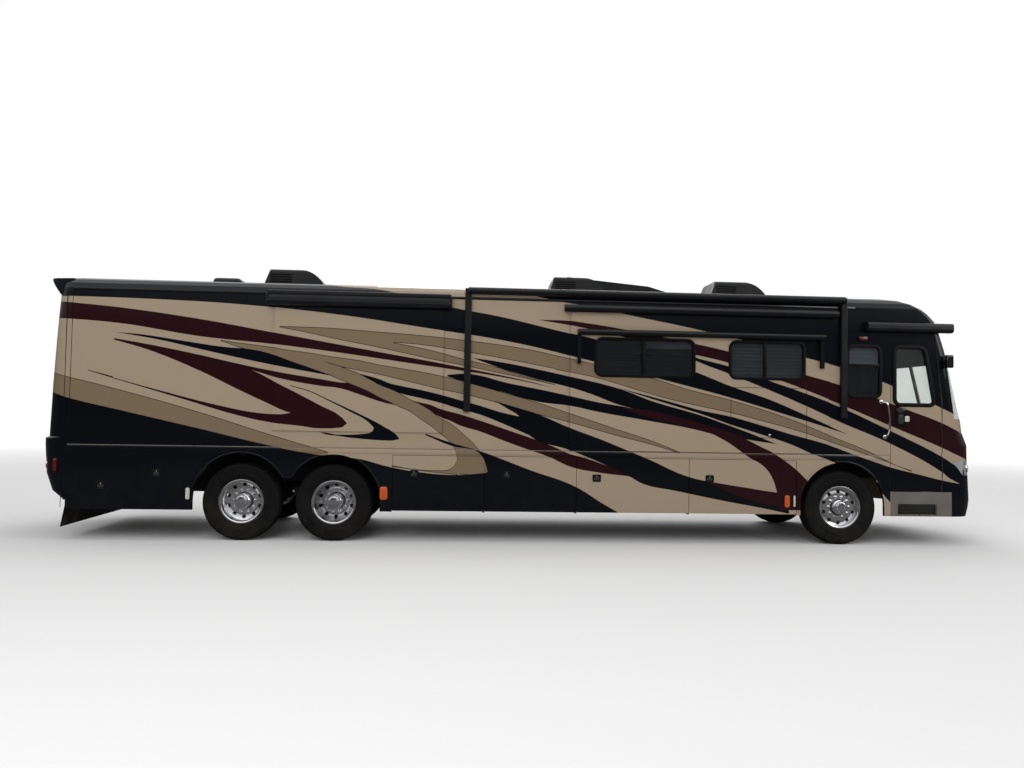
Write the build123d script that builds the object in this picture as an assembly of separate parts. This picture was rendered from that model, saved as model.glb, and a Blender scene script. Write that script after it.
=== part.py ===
"""Motorhome in mm: +X is forward, +Y is the left side, Z = 0 is the road."""
import os
from math import hypot, sqrt

from build123d import *

os.makedirs("parts", exist_ok=True)

# Layout along the coach, from the nose back
NOSE_DEPTH = 650
HINGE_GAP = 12
DOOR_W = 748
DOOR_TO_AXLE = 690
AXLE_TO_BAYS = 660
BAY_WIDTHS = (1240, 1250, 1560, 1510)
BAYS_TO_DRIVE = 780
TYRE_R = 515
TYRE_GAP = 190
REAR_OVERHANG = 2680
HALF_WIDTH = 1295

FRONT_OVERHANG = NOSE_DEPTH + HINGE_GAP + DOOR_W + DOOR_TO_AXLE
WHEELBASE = AXLE_TO_BAYS + sum(BAY_WIDTHS) + BAYS_TO_DRIVE
TAG_SPACING = 2 * TYRE_R + TYRE_GAP
LENGTH = FRONT_OVERHANG + WHEELBASE + TAG_SPACING + REAR_OVERHANG
NOSE_X = LENGTH / 2
TAIL_X = -LENGTH / 2
FRONT_AXLE_X = NOSE_X - FRONT_OVERHANG
DRIVE_AXLE_X = FRONT_AXLE_X - WHEELBASE
TAG_AXLE_X = DRIVE_AXLE_X - TAG_SPACING

# Heights
SKIRT_Z = 410
STEP_TOP_Z = 750
ARCH_RISE = 30
ARCH_Z = TYRE_R + ARCH_RISE
FRONT_ARCH_R = TYRE_R + 85
REAR_ARCH_R = TYRE_R + 105
BELT_Z = ARCH_Z + REAR_ARCH_R + 5
ARCH_WEB_Z = ARCH_Z + 295
REAR_LEDGE_Z = BELT_Z + 170
REAR_SKIRT_Z = 520
SEAM_Z = 3320
ROOF_Z = 3490
FLOOR_TOP_Z = BELT_Z + 70
FLOOR_T = 60
FLOOR_Z = FLOOR_TOP_Z - FLOOR_T

# Seams between the big panels
REAR_CAP_D = 420
FRONT_CAP_X = NOSE_X - NOSE_DEPTH
BUMPER_X = FRONT_CAP_X + 130
REAR_CAP_X = TAIL_X + REAR_CAP_D
ROOF_FRONT_X = FRONT_AXLE_X + 200

# Wall thickness
WALL_T = 60
CAP_T = 50
PANEL_T = 40
GLASS_T = 8
GLASS_IN = 6
FIT = 0.3
GAP = 5.5

# Plan shape of the ends
FRONT_BOW_R = 4000
REAR_BOW_R = 8000
REAR_CORNER_R = 250
MIN_CORNER_R = 30
DOME_Z = 2900

# Body sections from the skirt to the roof:
# height, front set back, front corner radius, rear set in, side set in
BODY_SECTIONS = (
    (SKIRT_Z, 45, 300, 260, 0),
    (530, 15, 300, 240, 0),
    (640, 0, 300, 110, 0),
    (880, 10, 300, 25, 0),
    (1260, 28, 300, 0, 0),
    (1330, 28, 300, 0, 0),
    (1350, 28, 300, 50, 0),
    (1400, 30, 290, 50, 0),
    (1590, 109, 270, 56, 0),
    (1770, 138, 250, 62, 0),
    (2050, 210, 220, 70, 0),
    (2650, 354, 150, 98, 0),
    (3000, 476, 100, 118, 0),
    (3150, 540, 100, 128, 0),
    (3257, 645, 100, 136, 0),
    (SEAM_Z, 735, 100, 140, 0),
    (3390, 880, 100, 150, 25),
    (3440, 1040, 100, 170, 80),
    (3470, 1260, 100, 200, 165),
    (ROOF_Z, 1560, 100, 300, 395),
)


def block(x0, x1, y0, y1, z0, z1):
    return Pos((x0 + x1) / 2, (y0 + y1) / 2, (z0 + z1) / 2) * Box(x1 - x0, y1 - y0, z1 - z0)


def side_prism(points, y0, y1):
    """Prism from an outline in the XZ plane, between two Y places."""
    face = make_face(Polyline([(x, 0, z) for x, z in points], close=True))
    solid = extrude(face, amount=y1 - y0, dir=(0, 1, 0))
    return Pos(0, y0, 0) * solid


def window_prism(x0, x1, z0, z1, y0, y1, radius, margin=0.0):
    """Prism with rounded corners, lying along Y; margin makes it smaller all round."""
    plan = RectangleRounded(x1 - x0 - 2 * margin, z1 - z0 - 2 * margin, radius - margin)
    solid = extrude(Plane.XZ * plan, amount=y1 - y0)
    return Pos((x0 + x1) / 2, y1, (z0 + z1) / 2) * solid


def outline_prism(points, y0, y1, radius, margin=0.0):
    """Prism along Y from an outline in X and Z with rounded corners; margin makes it smaller all round."""
    plan = make_face(Polyline(points, close=True))
    plan = fillet(plan.vertices(), radius)
    if margin:
        plan = offset(plan, amount=-margin)
    return Pos(0, y1, 0) * extrude(Plane.XZ * plan, amount=y1 - y0)


def cylinder_y(x, y0, y1, z, radius):
    return Pos(x, (y0 + y1) / 2, z) * Rot(90, 0, 0) * Cylinder(radius, abs(y1 - y0))


def cylinder_x(x0, x1, y, z, radius):
    return Pos((x0 + x1) / 2, y, z) * Rot(0, 90, 0) * Cylinder(radius, x1 - x0)


def cylinder_z(x, y, z0, z1, radius):
    return Pos(x, y, (z0 + z1) / 2) * Cylinder(radius, z1 - z0)


def end_arcs(tip_x, bow_r, corner_r, half_width, sense):
    """Corner and bow of one end: tangent points and corner mid point on the +Y side."""
    bow_x = tip_x - sense * bow_r
    reach = bow_r - corner_r
    rise = half_width - corner_r
    run = sqrt(reach ** 2 - rise ** 2)
    corner_x = bow_x + sense * run
    unit_x = sense * run / reach
    unit_y = rise / reach
    mid_x = unit_x
    mid_y = unit_y + 1
    mid = hypot(mid_x, mid_y)
    bow_end = (bow_x + bow_r * unit_x, bow_r * unit_y)
    corner_mid = (corner_x + corner_r * mid_x / mid, half_width - corner_r + corner_r * mid_y / mid)
    return bow_end, corner_mid, (corner_x, half_width)


def mirrored(point):
    return (point[0], -point[1])


def plan_face(z, front_x, corner_r, rear_x, half_width, inset):
    """Plan outline of the body at one height."""
    front = end_arcs(front_x, FRONT_BOW_R - inset, corner_r, half_width, 1)
    rear = end_arcs(rear_x, REAR_BOW_R - inset, max(REAR_CORNER_R - inset, MIN_CORNER_R), half_width, -1)
    edges = [
        ThreePointArc(mirrored(front[0]), (front_x, 0), front[0]),
        ThreePointArc(front[0], front[1], front[2]),
        Line(front[2], rear[2]),
        ThreePointArc(rear[2], rear[1], rear[0]),
        ThreePointArc(rear[0], (rear_x, 0), mirrored(rear[0])),
        ThreePointArc(mirrored(rear[0]), mirrored(rear[1]), mirrored(rear[2])),
        Line(mirrored(rear[2]), mirrored(front[2])),
        ThreePointArc(mirrored(front[2]), mirrored(front[1]), mirrored(front[0])),
    ]
    return Pos(0, 0, z) * make_face(edges)


def body_form(inset=0):
    """The whole outer form of the body, or the same form set in by a wall thickness."""
    rows = BODY_SECTIONS
    last = len(rows) - 1
    faces = []
    if inset:
        z, front, corner_r, rear, side = rows[0]
        faces.append(plan_face(z - 100, NOSE_X - front - inset, corner_r - inset,
                               TAIL_X + rear + inset, HALF_WIDTH - side - inset, inset))
    for index, (z, front, corner_r, rear, side) in enumerate(rows):
        below = rows[max(index - 1, 0)]
        above = rows[min(index + 1, last)]
        rise = above[0] - below[0]
        front_slope = hypot(above[1] - below[1], rise)
        side_slope = hypot(above[4] - below[4], rise)
        front_in = side_in = inset
        down = 0
        if z > DOME_Z:
            front_in = inset * rise / front_slope
            side_in = inset * rise / side_slope
            down = inset * max((above[1] - below[1]) / front_slope, (above[4] - below[4]) / side_slope)
        if index == last:
            down = inset
        faces.append(plan_face(z - down, NOSE_X - front - front_in, max(corner_r - inset, MIN_CORNER_R),
                               TAIL_X + rear + inset, HALF_WIDTH - side - side_in, inset))
    return loft(faces, ruled=True)


def front_x_at(height):
    """Nose of the body on the centre line at one height."""
    for low, high in zip(BODY_SECTIONS, BODY_SECTIONS[1:]):
        if low[0] <= height <= high[0]:
            share = (height - low[0]) / (high[0] - low[0])
            return NOSE_X - low[1] - share * (high[1] - low[1])
    return NOSE_X


OUTER = body_form()
WALL_INNER = body_form(WALL_T)
CAP_INNER = body_form(CAP_T)
PANEL_INNER = body_form(PANEL_T)
PARTS = {}
FAR = 8000
SIDE_IN = HALF_WIDTH - 115

# Entry door: a straight outline with the front edge leaning back beside the windscreen
DOOR_X0 = FRONT_AXLE_X + DOOR_TO_AXLE
DOOR_X1 = DOOR_X0 + DOOR_W
DOOR_LEAN = 93
DOOR_TOP_X = DOOR_X1 - DOOR_LEAN
DOOR_HEAD = 390
DOOR_TOP_Z = SEAM_Z - DOOR_HEAD
DOOR_BEND_Z = DOOR_TOP_Z - 1030
DOOR_SWING_ROOM = 110
DOOR_OPENING = (
    (DOOR_X0, STEP_TOP_Z), (FRONT_CAP_X, STEP_TOP_Z), (FRONT_CAP_X, DOOR_BEND_Z + DOOR_SWING_ROOM),
    (DOOR_TOP_X + GAP, DOOR_TOP_Z + GAP), (DOOR_X0, DOOR_TOP_Z + GAP),
)
DOOR_OUTLINE = (
    (DOOR_X0 + GAP, STEP_TOP_Z + GAP), (DOOR_X1, STEP_TOP_Z + GAP), (DOOR_X1, DOOR_BEND_Z),
    (DOOR_TOP_X, DOOR_TOP_Z), (DOOR_X0 + GAP, DOOR_TOP_Z),
)
DOOR_WINDOW_Z0 = DOOR_BEND_Z + 55
DOOR_WINDOW_Z1 = DOOR_TOP_Z - 140
DOOR_WINDOW_LEAN = 150
DOOR_WINDOW = (
    (DOOR_X0 + 50, DOOR_WINDOW_Z0), (DOOR_X1 - 90, DOOR_WINDOW_Z0),
    (DOOR_X1 - 90 - DOOR_WINDOW_LEAN, DOOR_WINDOW_Z1), (DOOR_X0 + 50, DOOR_WINDOW_Z1),
)
DOOR_PIN_Y = -HALF_WIDTH + 7
DOOR_PIN_R = 5
DOOR_KNUCKLE_R = 7
DOOR_KNUCKLE_H = 90
DOOR_HINGE_Z = (STEP_TOP_Z + 110, STEP_TOP_Z + 550, DOOR_BEND_Z - 160)

# Slide-out rooms
SLIDE_DEPTH = 700
SLIDE_T = 40
FLANGE = 25
FLANGE_T = 24
SLIDE_PLAY = 15
SLIDE_TOP_Z = 3200
TOPPER_R = 50
TOPPER_PAST = 125
TOPPER_OFF = 6
SLIDE_WINDOW_Z0 = SLIDE_TOP_Z - 915
SLIDE_WINDOW_Z1 = SLIDE_TOP_Z - 392
SLIDE_ROWS = (
    # name, side, rear x, low z, lengths along x: wall, window, wall, window, wall
    ("slide_right_rear", -1, DRIVE_AXLE_X - 800, FLOOR_TOP_Z + 260, (2210,)),
    ("slide_right_front", -1, FRONT_AXLE_X - 3810, FLOOR_TOP_Z + 50, (311, 1387, 490, 1069, 323)),
    ("slide_left", 1, DRIVE_AXLE_X + 500, FLOOR_TOP_Z + 50, (600, 1200, 1800, 1400, 800)),
)
SLIDES = []
for name, side, x0, z0, lengths in SLIDE_ROWS:
    windows = []
    for index in range(1, len(lengths), 2):
        start = x0 + sum(lengths[:index])
        windows.append((start, start + lengths[index], SLIDE_WINDOW_Z0, SLIDE_WINDOW_Z1))
    SLIDES.append((name, side, x0, x0 + sum(lengths), z0, SLIDE_TOP_Z, windows))

# Fixed side windows: side, rear x, front x, low z, high z
WINDOW_R = 70
FIXED_WINDOWS = (
    (-1, FRONT_AXLE_X + 64, FRONT_AXLE_X + 556, DOOR_TOP_Z - 873, DOOR_TOP_Z - 139),
    (1, FRONT_AXLE_X + 300, FRONT_AXLE_X + 1220, DOOR_TOP_Z - 930, DOOR_TOP_Z - 139),
    (1, TAIL_X + 1200, TAIL_X + 2200, SLIDE_WINDOW_Z0, SLIDE_WINDOW_Z1),
)

# Storage doors between these edges, the same on both sides
BAY_EDGES = [DRIVE_AXLE_X + BAYS_TO_DRIVE]
for width in BAY_WIDTHS:
    BAY_EDGES.append(BAY_EDGES[-1] + width)
BAY_DOOR_Z0 = SKIRT_Z + 12
BAY_DOOR_Z1 = BELT_Z - GAP
BARREL_R = 6
BARREL_Y = HALF_WIDTH - BARREL_R
BAY_PIN_R = 3.5
BAY_PIN_LENGTH = 40

# Wheel arches: x, radius
ARCHES = ((FRONT_AXLE_X, FRONT_ARCH_R), (DRIVE_AXLE_X, REAR_ARCH_R), (TAG_AXLE_X, REAR_ARCH_R))

# Chassis
RAIL_Y = 430
RAIL_W = 80
BEARER_H = 50
RAIL_Z1 = FLOOR_Z - BEARER_H
RAIL_Z0 = RAIL_Z1 - 250
RAIL_X0 = REAR_CAP_X + 100
RAIL_X1 = FRONT_CAP_X + 50
TRAY_Z0 = SKIRT_Z + 20
TRAY_T = 30
BULKHEAD_T = 30
BULKHEAD_Y = HALF_WIDTH - PANEL_T - 12

# Wheels
TYRE_W = 280
SHOULDER = 40
RIM_R = 298
RIM_INNER_R = 262
RIM_HALF_W = 115
WHEEL_Y = HALF_WIDTH - 195
TWIN_STEP = TYRE_W + 60
KINGPIN_Y = WHEEL_Y - 110
SPINDLE_R = 45
AXLE_SPINDLE_R = 50
RUN = 0.1


def side_cut(solid, side):
    """Keep the outer band of one side."""
    y0, y1 = sorted((side * SIDE_IN, side * FAR))
    return solid & block(-FAR, FAR, y0, y1, -FAR, FAR)


def fixed_window_prism(side, x0, x1, z0, z1, margin=0.0):
    y0, y1 = sorted((side * (HALF_WIDTH - 200), side * (HALF_WIDTH + 100)))
    return window_prism(x0, x1, z0, z1, y0, y1, WINDOW_R, margin)


# Side walls between the belt and the roof seam
for side, name in ((-1, "side_wall_right"), (1, "side_wall_left")):
    wall = side_cut(OUTER & block(REAR_CAP_X, FRONT_CAP_X, -FAR, FAR, BELT_Z, SEAM_Z), side) - WALL_INNER
    for slide_name, slide_side, x0, x1, z0, z1, windows in SLIDES:
        if slide_side == side:
            wall -= block(x0, x1, -FAR, FAR, z0, z1)
    for window_side, x0, x1, z0, z1 in FIXED_WINDOWS:
        if window_side == side:
            wall -= fixed_window_prism(side, x0, x1, z0, z1)
    if side < 0:
        wall -= side_prism(DOOR_OPENING, -FAR, 0)
    for edge in BAY_EDGES[1:]:
        wall += cylinder_z(edge - GAP, side * BARREL_Y, BELT_Z - BAY_PIN_LENGTH, BELT_Z, BAY_PIN_R)
    PARTS[name] = wall

# Fixed side glass, set in from the outer face
pane_shell = body_form(GLASS_IN)
pane_inner = body_form(GLASS_IN + GLASS_T)
panes = []
for window_side, x0, x1, z0, z1 in FIXED_WINDOWS:
    pane = fixed_window_prism(window_side, x0, x1, z0, z1, FIT)
    panes.append((pane & pane_shell) - pane_inner)
PARTS["side_glass"] = Compound(children=panes)

# Roof between the caps
PARTS["roof"] = (OUTER & block(REAR_CAP_X, ROOF_FRONT_X, -FAR, FAR, SEAM_Z, FAR)) - WALL_INNER

# Front cap: nose, windscreen frame and the dome over it
WINDSCREEN_Z0 = 1780
WINDSCREEN_Z1 = 2930
WINDSCREEN_WRAP = 330
PILLAR_W = 30
POST_W = 30
HEADLAMP = (NOSE_X - 350, HALF_WIDTH - 475, HALF_WIDTH - 30, 985, 1185)


def windscreen_region(margin):
    low = WINDSCREEN_Z0 + margin
    high = WINDSCREEN_Z1 - margin
    outline = (
        (front_x_at(low) - WINDSCREEN_WRAP + margin, low), (FAR, low), (FAR, high),
        (FRONT_CAP_X + PILLAR_W + margin, high),
    )
    return side_prism(outline, -FAR, FAR) - block(-FAR, FAR, -POST_W / 2 - margin, POST_W / 2 + margin, 0, FAR)


def headlamp_region(side, margin):
    x0, y_in, y_out, z0, z1 = HEADLAMP
    y0, y1 = sorted((side * (y_in + margin), side * (y_out - margin)))
    return block(x0 + margin, FAR, y0, y1, z0 + margin, z1 - margin)


cap_zone = block(FRONT_CAP_X, FAR, -FAR, FAR, STEP_TOP_Z, SEAM_Z)
cap_zone += block(ROOF_FRONT_X, FAR, -FAR, FAR, SEAM_Z, FAR)
cap_zone += block(ROOF_FRONT_X, FAR, -SIDE_IN, SIDE_IN, DOOR_TOP_Z, SEAM_Z)
front_cap = (OUTER & cap_zone) - CAP_INNER - windscreen_region(0)
for side in (-1, 1):
    front_cap -= headlamp_region(side, 0)
for z in DOOR_HINGE_Z:
    front_cap += cylinder_z(DOOR_X1, DOOR_PIN_Y, z - DOOR_KNUCKLE_H, z, DOOR_KNUCKLE_R)
    front_cap += block(DOOR_X1, FRONT_CAP_X + 20, DOOR_PIN_Y - 6, DOOR_PIN_Y + 6, z - DOOR_KNUCKLE_H, z)
    front_cap += cylinder_z(DOOR_X1, DOOR_PIN_Y, z, z + DOOR_KNUCKLE_H - 10, DOOR_PIN_R)
PARTS["front_cap"] = front_cap
PARTS["windscreen"] = (windscreen_region(FIT) & pane_shell) - pane_inner
lens_outer = body_form(2)
lens_inner = body_form(30)
PARTS["headlamps"] = Compound(children=[
    (headlamp_region(side, FIT) & lens_outer) - lens_inner for side in (-1, 1)
])
front_bumper = (OUTER & block(BUMPER_X, FAR, -FAR, FAR, SKIRT_Z, STEP_TOP_Z)) - CAP_INNER
INLET_HALF_W = 520
INLET_H = 32
for low in (470, 540, 610):
    front_bumper -= block(NOSE_X - 300, FAR, -INLET_HALF_W, INLET_HALF_W, low, low + INLET_H)
PARTS["front_bumper"] = front_bumper

# Rear cap with its roof fin, rear bumper with grille and lamps
FIN_Z0 = 3230
FIN_TIP_Z = 3445
FIN_HALF_W = HALF_WIDTH - 75
FIN_CORNER_R = 120
FIN_SET_IN = 100
GRILLE_HALF_W = 560
GRILLE_Z0 = 760
GRILLE_Z1 = 1240
GRILLE_SLOTS = 9
TAIL_LAMP = (TAIL_X + 240, HALF_WIDTH - 305, HALF_WIDTH - 65, 870, 1080)
RECEIVER_Z = 470
RECEIVER_W = 63.5
RECEIVER_BORE = 50.8
RECEIVER_X0 = TAIL_X + 160
HITCH_PIN_X = RECEIVER_X0 + 60
HITCH_PIN_R = 7.95

fin_tip_x = TAIL_X + FIN_SET_IN
fin_outline = ((REAR_CAP_X, FIN_Z0), (fin_tip_x + 155, FIN_Z0), (fin_tip_x + 20, FIN_TIP_Z - 25),
               (fin_tip_x, FIN_TIP_Z), (REAR_CAP_X, FIN_TIP_Z + 10))
rear_fin = side_prism(fin_outline, -FIN_HALF_W, FIN_HALF_W)
fin_plan = RectangleRounded(REAR_CAP_D + 2 * FIN_CORNER_R, 2 * FIN_HALF_W, FIN_CORNER_R)
rear_fin &= Pos(fin_tip_x + REAR_CAP_D / 2 + FIN_CORNER_R, 0, FIN_Z0 - 10) * extrude(fin_plan, amount=FIN_TIP_Z - FIN_Z0 + 40)
rear_fin -= WALL_INNER
PARTS["rear_cap"] = (OUTER & block(-FAR, REAR_CAP_X, -FAR, FAR, REAR_LEDGE_Z, FAR)) - CAP_INNER + rear_fin


def tail_lamp_region(side, margin):
    x1, y_in, y_out, z0, z1 = TAIL_LAMP
    y0, y1 = sorted((side * (y_in + margin), side * (y_out - margin)))
    return block(-FAR, x1 - margin, y0, y1, z0 + margin, z1 - margin)


rear_bumper = (OUTER & block(-FAR, REAR_CAP_X, -FAR, FAR, REAR_SKIRT_Z, REAR_LEDGE_Z)) - CAP_INNER
rear_bumper -= block(-FAR, REAR_CAP_X - 200, -GRILLE_HALF_W, GRILLE_HALF_W, GRILLE_Z0, GRILLE_Z1)
for side in (-1, 1):
    rear_bumper -= tail_lamp_region(side, 0)
PARTS["rear_bumper"] = rear_bumper
PARTS["tail_lamps"] = Compound(children=[
    (tail_lamp_region(side, FIT) & lens_outer) - lens_inner for side in (-1, 1)
])
grille_half = GRILLE_HALF_W - FIT
grille = block(-FAR, REAR_CAP_X - 200, -grille_half, grille_half, GRILLE_Z0 + FIT, GRILLE_Z1 - FIT)
grille = (grille & pane_shell) - PANEL_INNER
slot_step = (GRILLE_Z1 - GRILLE_Z0 - 60) / GRILLE_SLOTS
for index in range(GRILLE_SLOTS):
    low = GRILLE_Z0 + 40 + index * slot_step
    grille -= block(-FAR, REAR_CAP_X, -grille_half + 40, grille_half - 40, low, low + slot_step * 0.55)
PARTS["rear_grille"] = grille

# Lower fixed panels with the wheel arches, and the step skirt under the entry door
for side, name in ((-1, "lower_panels_right"), (1, "lower_panels_left")):
    zone = block(REAR_CAP_X, BAY_EDGES[0], -FAR, FAR, SKIRT_Z, BELT_Z)
    if side < 0:
        zone += block(BAY_EDGES[-1] + GAP, DOOR_X0, -FAR, FAR, SKIRT_Z, BELT_Z)
    else:
        zone += block(BAY_EDGES[-1] + GAP, FRONT_CAP_X, -FAR, FAR, SKIRT_Z, BELT_Z)
        zone += block(FRONT_CAP_X, BUMPER_X, -FAR, FAR, SKIRT_Z, STEP_TOP_Z)
    panels = side_cut(OUTER & zone, side) - PANEL_INNER
    for x, radius in ARCHES:
        panels -= cylinder_y(x, -FAR, FAR, ARCH_Z, radius)
        panels -= block(x - radius, x + radius, -FAR, FAR, 0, ARCH_Z)
    panels -= block(TAG_AXLE_X, DRIVE_AXLE_X, -FAR, FAR, 0, ARCH_WEB_Z)
    PARTS[name] = panels
STEP_SLOT = (DOOR_X0 + 110, DOOR_X1 - 78, SKIRT_Z + 20, SKIRT_Z + 170)
skirt = side_cut(OUTER & block(DOOR_X0, BUMPER_X, -FAR, FAR, SKIRT_Z, STEP_TOP_Z), -1) - PANEL_INNER
skirt -= block(STEP_SLOT[0], STEP_SLOT[1], -FAR, -HALF_WIDTH + PANEL_T - 15, STEP_SLOT[2], STEP_SLOT[3])
PARTS["step_skirt"] = skirt

# Floor with the step well cut out
STEP_WELL_Y = 595 - HALF_WIDTH
floor = block(REAR_CAP_X, FRONT_CAP_X, -HALF_WIDTH + WALL_T, HALF_WIDTH - WALL_T, FLOOR_Z, FLOOR_TOP_Z)
CAB_HALF_W = HALF_WIDTH - 295
floor += block(FRONT_CAP_X, FRONT_CAP_X + 300, -CAB_HALF_W, CAB_HALF_W, FLOOR_Z, FLOOR_TOP_Z)
floor -= block(DOOR_X0, DOOR_X1, -FAR, STEP_WELL_Y, 0, FAR)
PARTS["floor"] = floor

# Entry steps: three levels folded from one plate
STEP_T = 20
STEP_MID_Y = STEP_WELL_Y - 260
STEP_MID_Z = FLOOR_TOP_Z - 240
STEP_EDGE_Y = PANEL_T + 5 - HALF_WIDTH
step_points = (
    (STEP_EDGE_Y, STEP_TOP_Z), (STEP_MID_Y + STEP_T, STEP_TOP_Z), (STEP_MID_Y + STEP_T, STEP_MID_Z - STEP_T),
    (STEP_WELL_Y, STEP_MID_Z - STEP_T), (STEP_WELL_Y, FLOOR_TOP_Z), (STEP_WELL_Y - STEP_T, FLOOR_TOP_Z),
    (STEP_WELL_Y - STEP_T, STEP_MID_Z), (STEP_MID_Y, STEP_MID_Z), (STEP_MID_Y, STEP_TOP_Z + STEP_T),
    (STEP_EDGE_Y, STEP_TOP_Z + STEP_T),
)
step_face = make_face(Polyline([(DOOR_X0, y, z) for y, z in step_points], close=True))
PARTS["entry_steps"] = extrude(step_face, amount=DOOR_X1 - DOOR_X0, dir=(1, 0, 0))

# Storage tray with bulkheads and hinge lugs
tray = block(BAY_EDGES[0] - 15, BAY_EDGES[-1] + 15, -BULKHEAD_Y, BULKHEAD_Y, TRAY_Z0, TRAY_Z0 + TRAY_T)
for edge in BAY_EDGES:
    half = BULKHEAD_T / 2
    tray += block(edge - half, edge + half, -BULKHEAD_Y, BULKHEAD_Y, TRAY_Z0, RAIL_Z0)
for edge in BAY_EDGES[1:]:
    for side in (-1, 1):
        y0, y1 = sorted((side * (BULKHEAD_Y - 40), side * (HALF_WIDTH - 1)))
        tray += block(edge - 20, edge + 4, y0, y1, SKIRT_Z - 2, BAY_DOOR_Z0 - 1)
        y0, y1 = sorted((side * (BULKHEAD_Y - 40), side * BULKHEAD_Y))
        tray += block(edge - 20, edge + 4, y0, y1, SKIRT_Z - 2, TRAY_Z0)
        tray += cylinder_z(edge - GAP, side * BARREL_Y, SKIRT_Z, BAY_DOOR_Z0 + BAY_PIN_LENGTH, BAY_PIN_R)
PARTS["storage_tray"] = tray

# Storage doors, each with a hinge barrel along its front edge
LATCH_X = 290
for side, word in ((-1, "right"), (1, "left")):
    for index, (x0, x1) in enumerate(zip(BAY_EDGES, BAY_EDGES[1:])):
        door = side_cut(OUTER & block(x0 + GAP, x1 - GAP, -FAR, FAR, BAY_DOOR_Z0, BAY_DOOR_Z1), side) - PANEL_INNER
        door += cylinder_z(x1 - GAP, side * BARREL_Y, BAY_DOOR_Z0, BAY_DOOR_Z1, BARREL_R)
        for z in (BAY_DOOR_Z0, BAY_DOOR_Z1):
            reach = BAY_PIN_LENGTH + 2
            door -= cylinder_z(x1 - GAP, side * BARREL_Y, z - reach, z + reach, BAY_PIN_R + FIT)
        PARTS["storage_door_%s_%d" % (word, index + 1)] = door

# Entry door with its glass
door = side_cut(OUTER & side_prism(DOOR_OUTLINE, -FAR, 0), -1) - PANEL_INNER
door -= outline_prism(DOOR_WINDOW, -FAR, 0, WINDOW_R)
for z in DOOR_HINGE_Z:
    door -= cylinder_z(DOOR_X1, DOOR_PIN_Y, z - DOOR_KNUCKLE_H - GAP, z + 1, DOOR_KNUCKLE_R + GAP)
    door += cylinder_z(DOOR_X1, DOOR_PIN_Y, z + 0.5, z + DOOR_KNUCKLE_H, DOOR_KNUCKLE_R)
    door -= cylinder_z(DOOR_X1, DOOR_PIN_Y, z - 1, z + DOOR_KNUCKLE_H - 8, DOOR_PIN_R + FIT)
PARTS["entry_door"] = door
pane = outline_prism(DOOR_WINDOW, -FAR, 0, WINDOW_R, FIT)
PARTS["entry_door_glass"] = (pane & pane_shell) - pane_inner

# Slide-out rooms: flange, hollow box open to the inside, and a rolled cover over the top
SLIDE_PANE_IN = 10
WINDOW_ROLLER_R = 42
WINDOW_ROLLER_Z = SLIDE_WINDOW_Z1 + 72
glass_panes = {"slide_right_front": [], "slide_left": []}
for name, side, x0, x1, z0, z1, windows in SLIDES:
    face_y = HALF_WIDTH + FIT
    y0, y1 = sorted((side * face_y, side * (face_y + FLANGE_T)))
    room = block(x0 - FLANGE, x1 + FLANGE, y0, y1, z0 - FLANGE, z1 + FLANGE)
    y0, y1 = sorted((side * (HALF_WIDTH - SLIDE_DEPTH), side * face_y))
    room += block(x0 + SLIDE_PLAY, x1 - SLIDE_PLAY, y0, y1, z0 + SLIDE_PLAY, z1 - SLIDE_PLAY)
    y0, y1 = sorted((side * (HALF_WIDTH - SLIDE_DEPTH - 10), side * (HALF_WIDTH - SLIDE_T)))
    inner = SLIDE_PLAY + SLIDE_T
    room -= block(x0 + inner, x1 - inner, y0, y1, z0 + inner, z1 - inner)
    for wx0, wx1, wz0, wz1 in windows:
        y0, y1 = sorted((side * (HALF_WIDTH - 200), side * (HALF_WIDTH + 100)))
        room -= window_prism(wx0, wx1, wz0, wz1, y0, y1, WINDOW_R)
        outer_y = face_y + FLANGE_T - SLIDE_PANE_IN
        y0, y1 = sorted((side * outer_y, side * (outer_y - GLASS_T)))
        glass_panes[name].append(window_prism(wx0, wx1, wz0, wz1, y0, y1, WINDOW_R, FIT))
    topper_y = face_y + FLANGE_T + TOPPER_R + TOPPER_OFF
    room += cylinder_x(x0 - TOPPER_PAST, x1 + TOPPER_PAST, side * topper_y, z1, TOPPER_R)
    for x in (x0 + 60, x1 - 60):
        y0, y1 = sorted((side * (face_y + FLANGE_T - 5), side * topper_y))
        room += block(x - 20, x + 20, y0, y1, z1 - 40, z1 + 20)
    if name == "slide_right_front":
        roller_y = face_y + FLANGE_T + WINDOW_ROLLER_R + TOPPER_OFF
        room += cylinder_x(x0 + 66, x1 - 53, side * roller_y, WINDOW_ROLLER_Z, WINDOW_ROLLER_R)
        for x in (x0 + 88, x1 - 86):
            y0, y1 = sorted((side * (face_y + FLANGE_T - 5), side * roller_y))
            room += block(x - 25, x + 25, y0, y1, WINDOW_ROLLER_Z - 430, WINDOW_ROLLER_Z + 30)
    PARTS[name] = room
PARTS["slide_glass_right"] = Compound(children=glass_panes["slide_right_front"])
PARTS["slide_glass_left"] = Compound(children=glass_panes["slide_left"])

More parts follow.
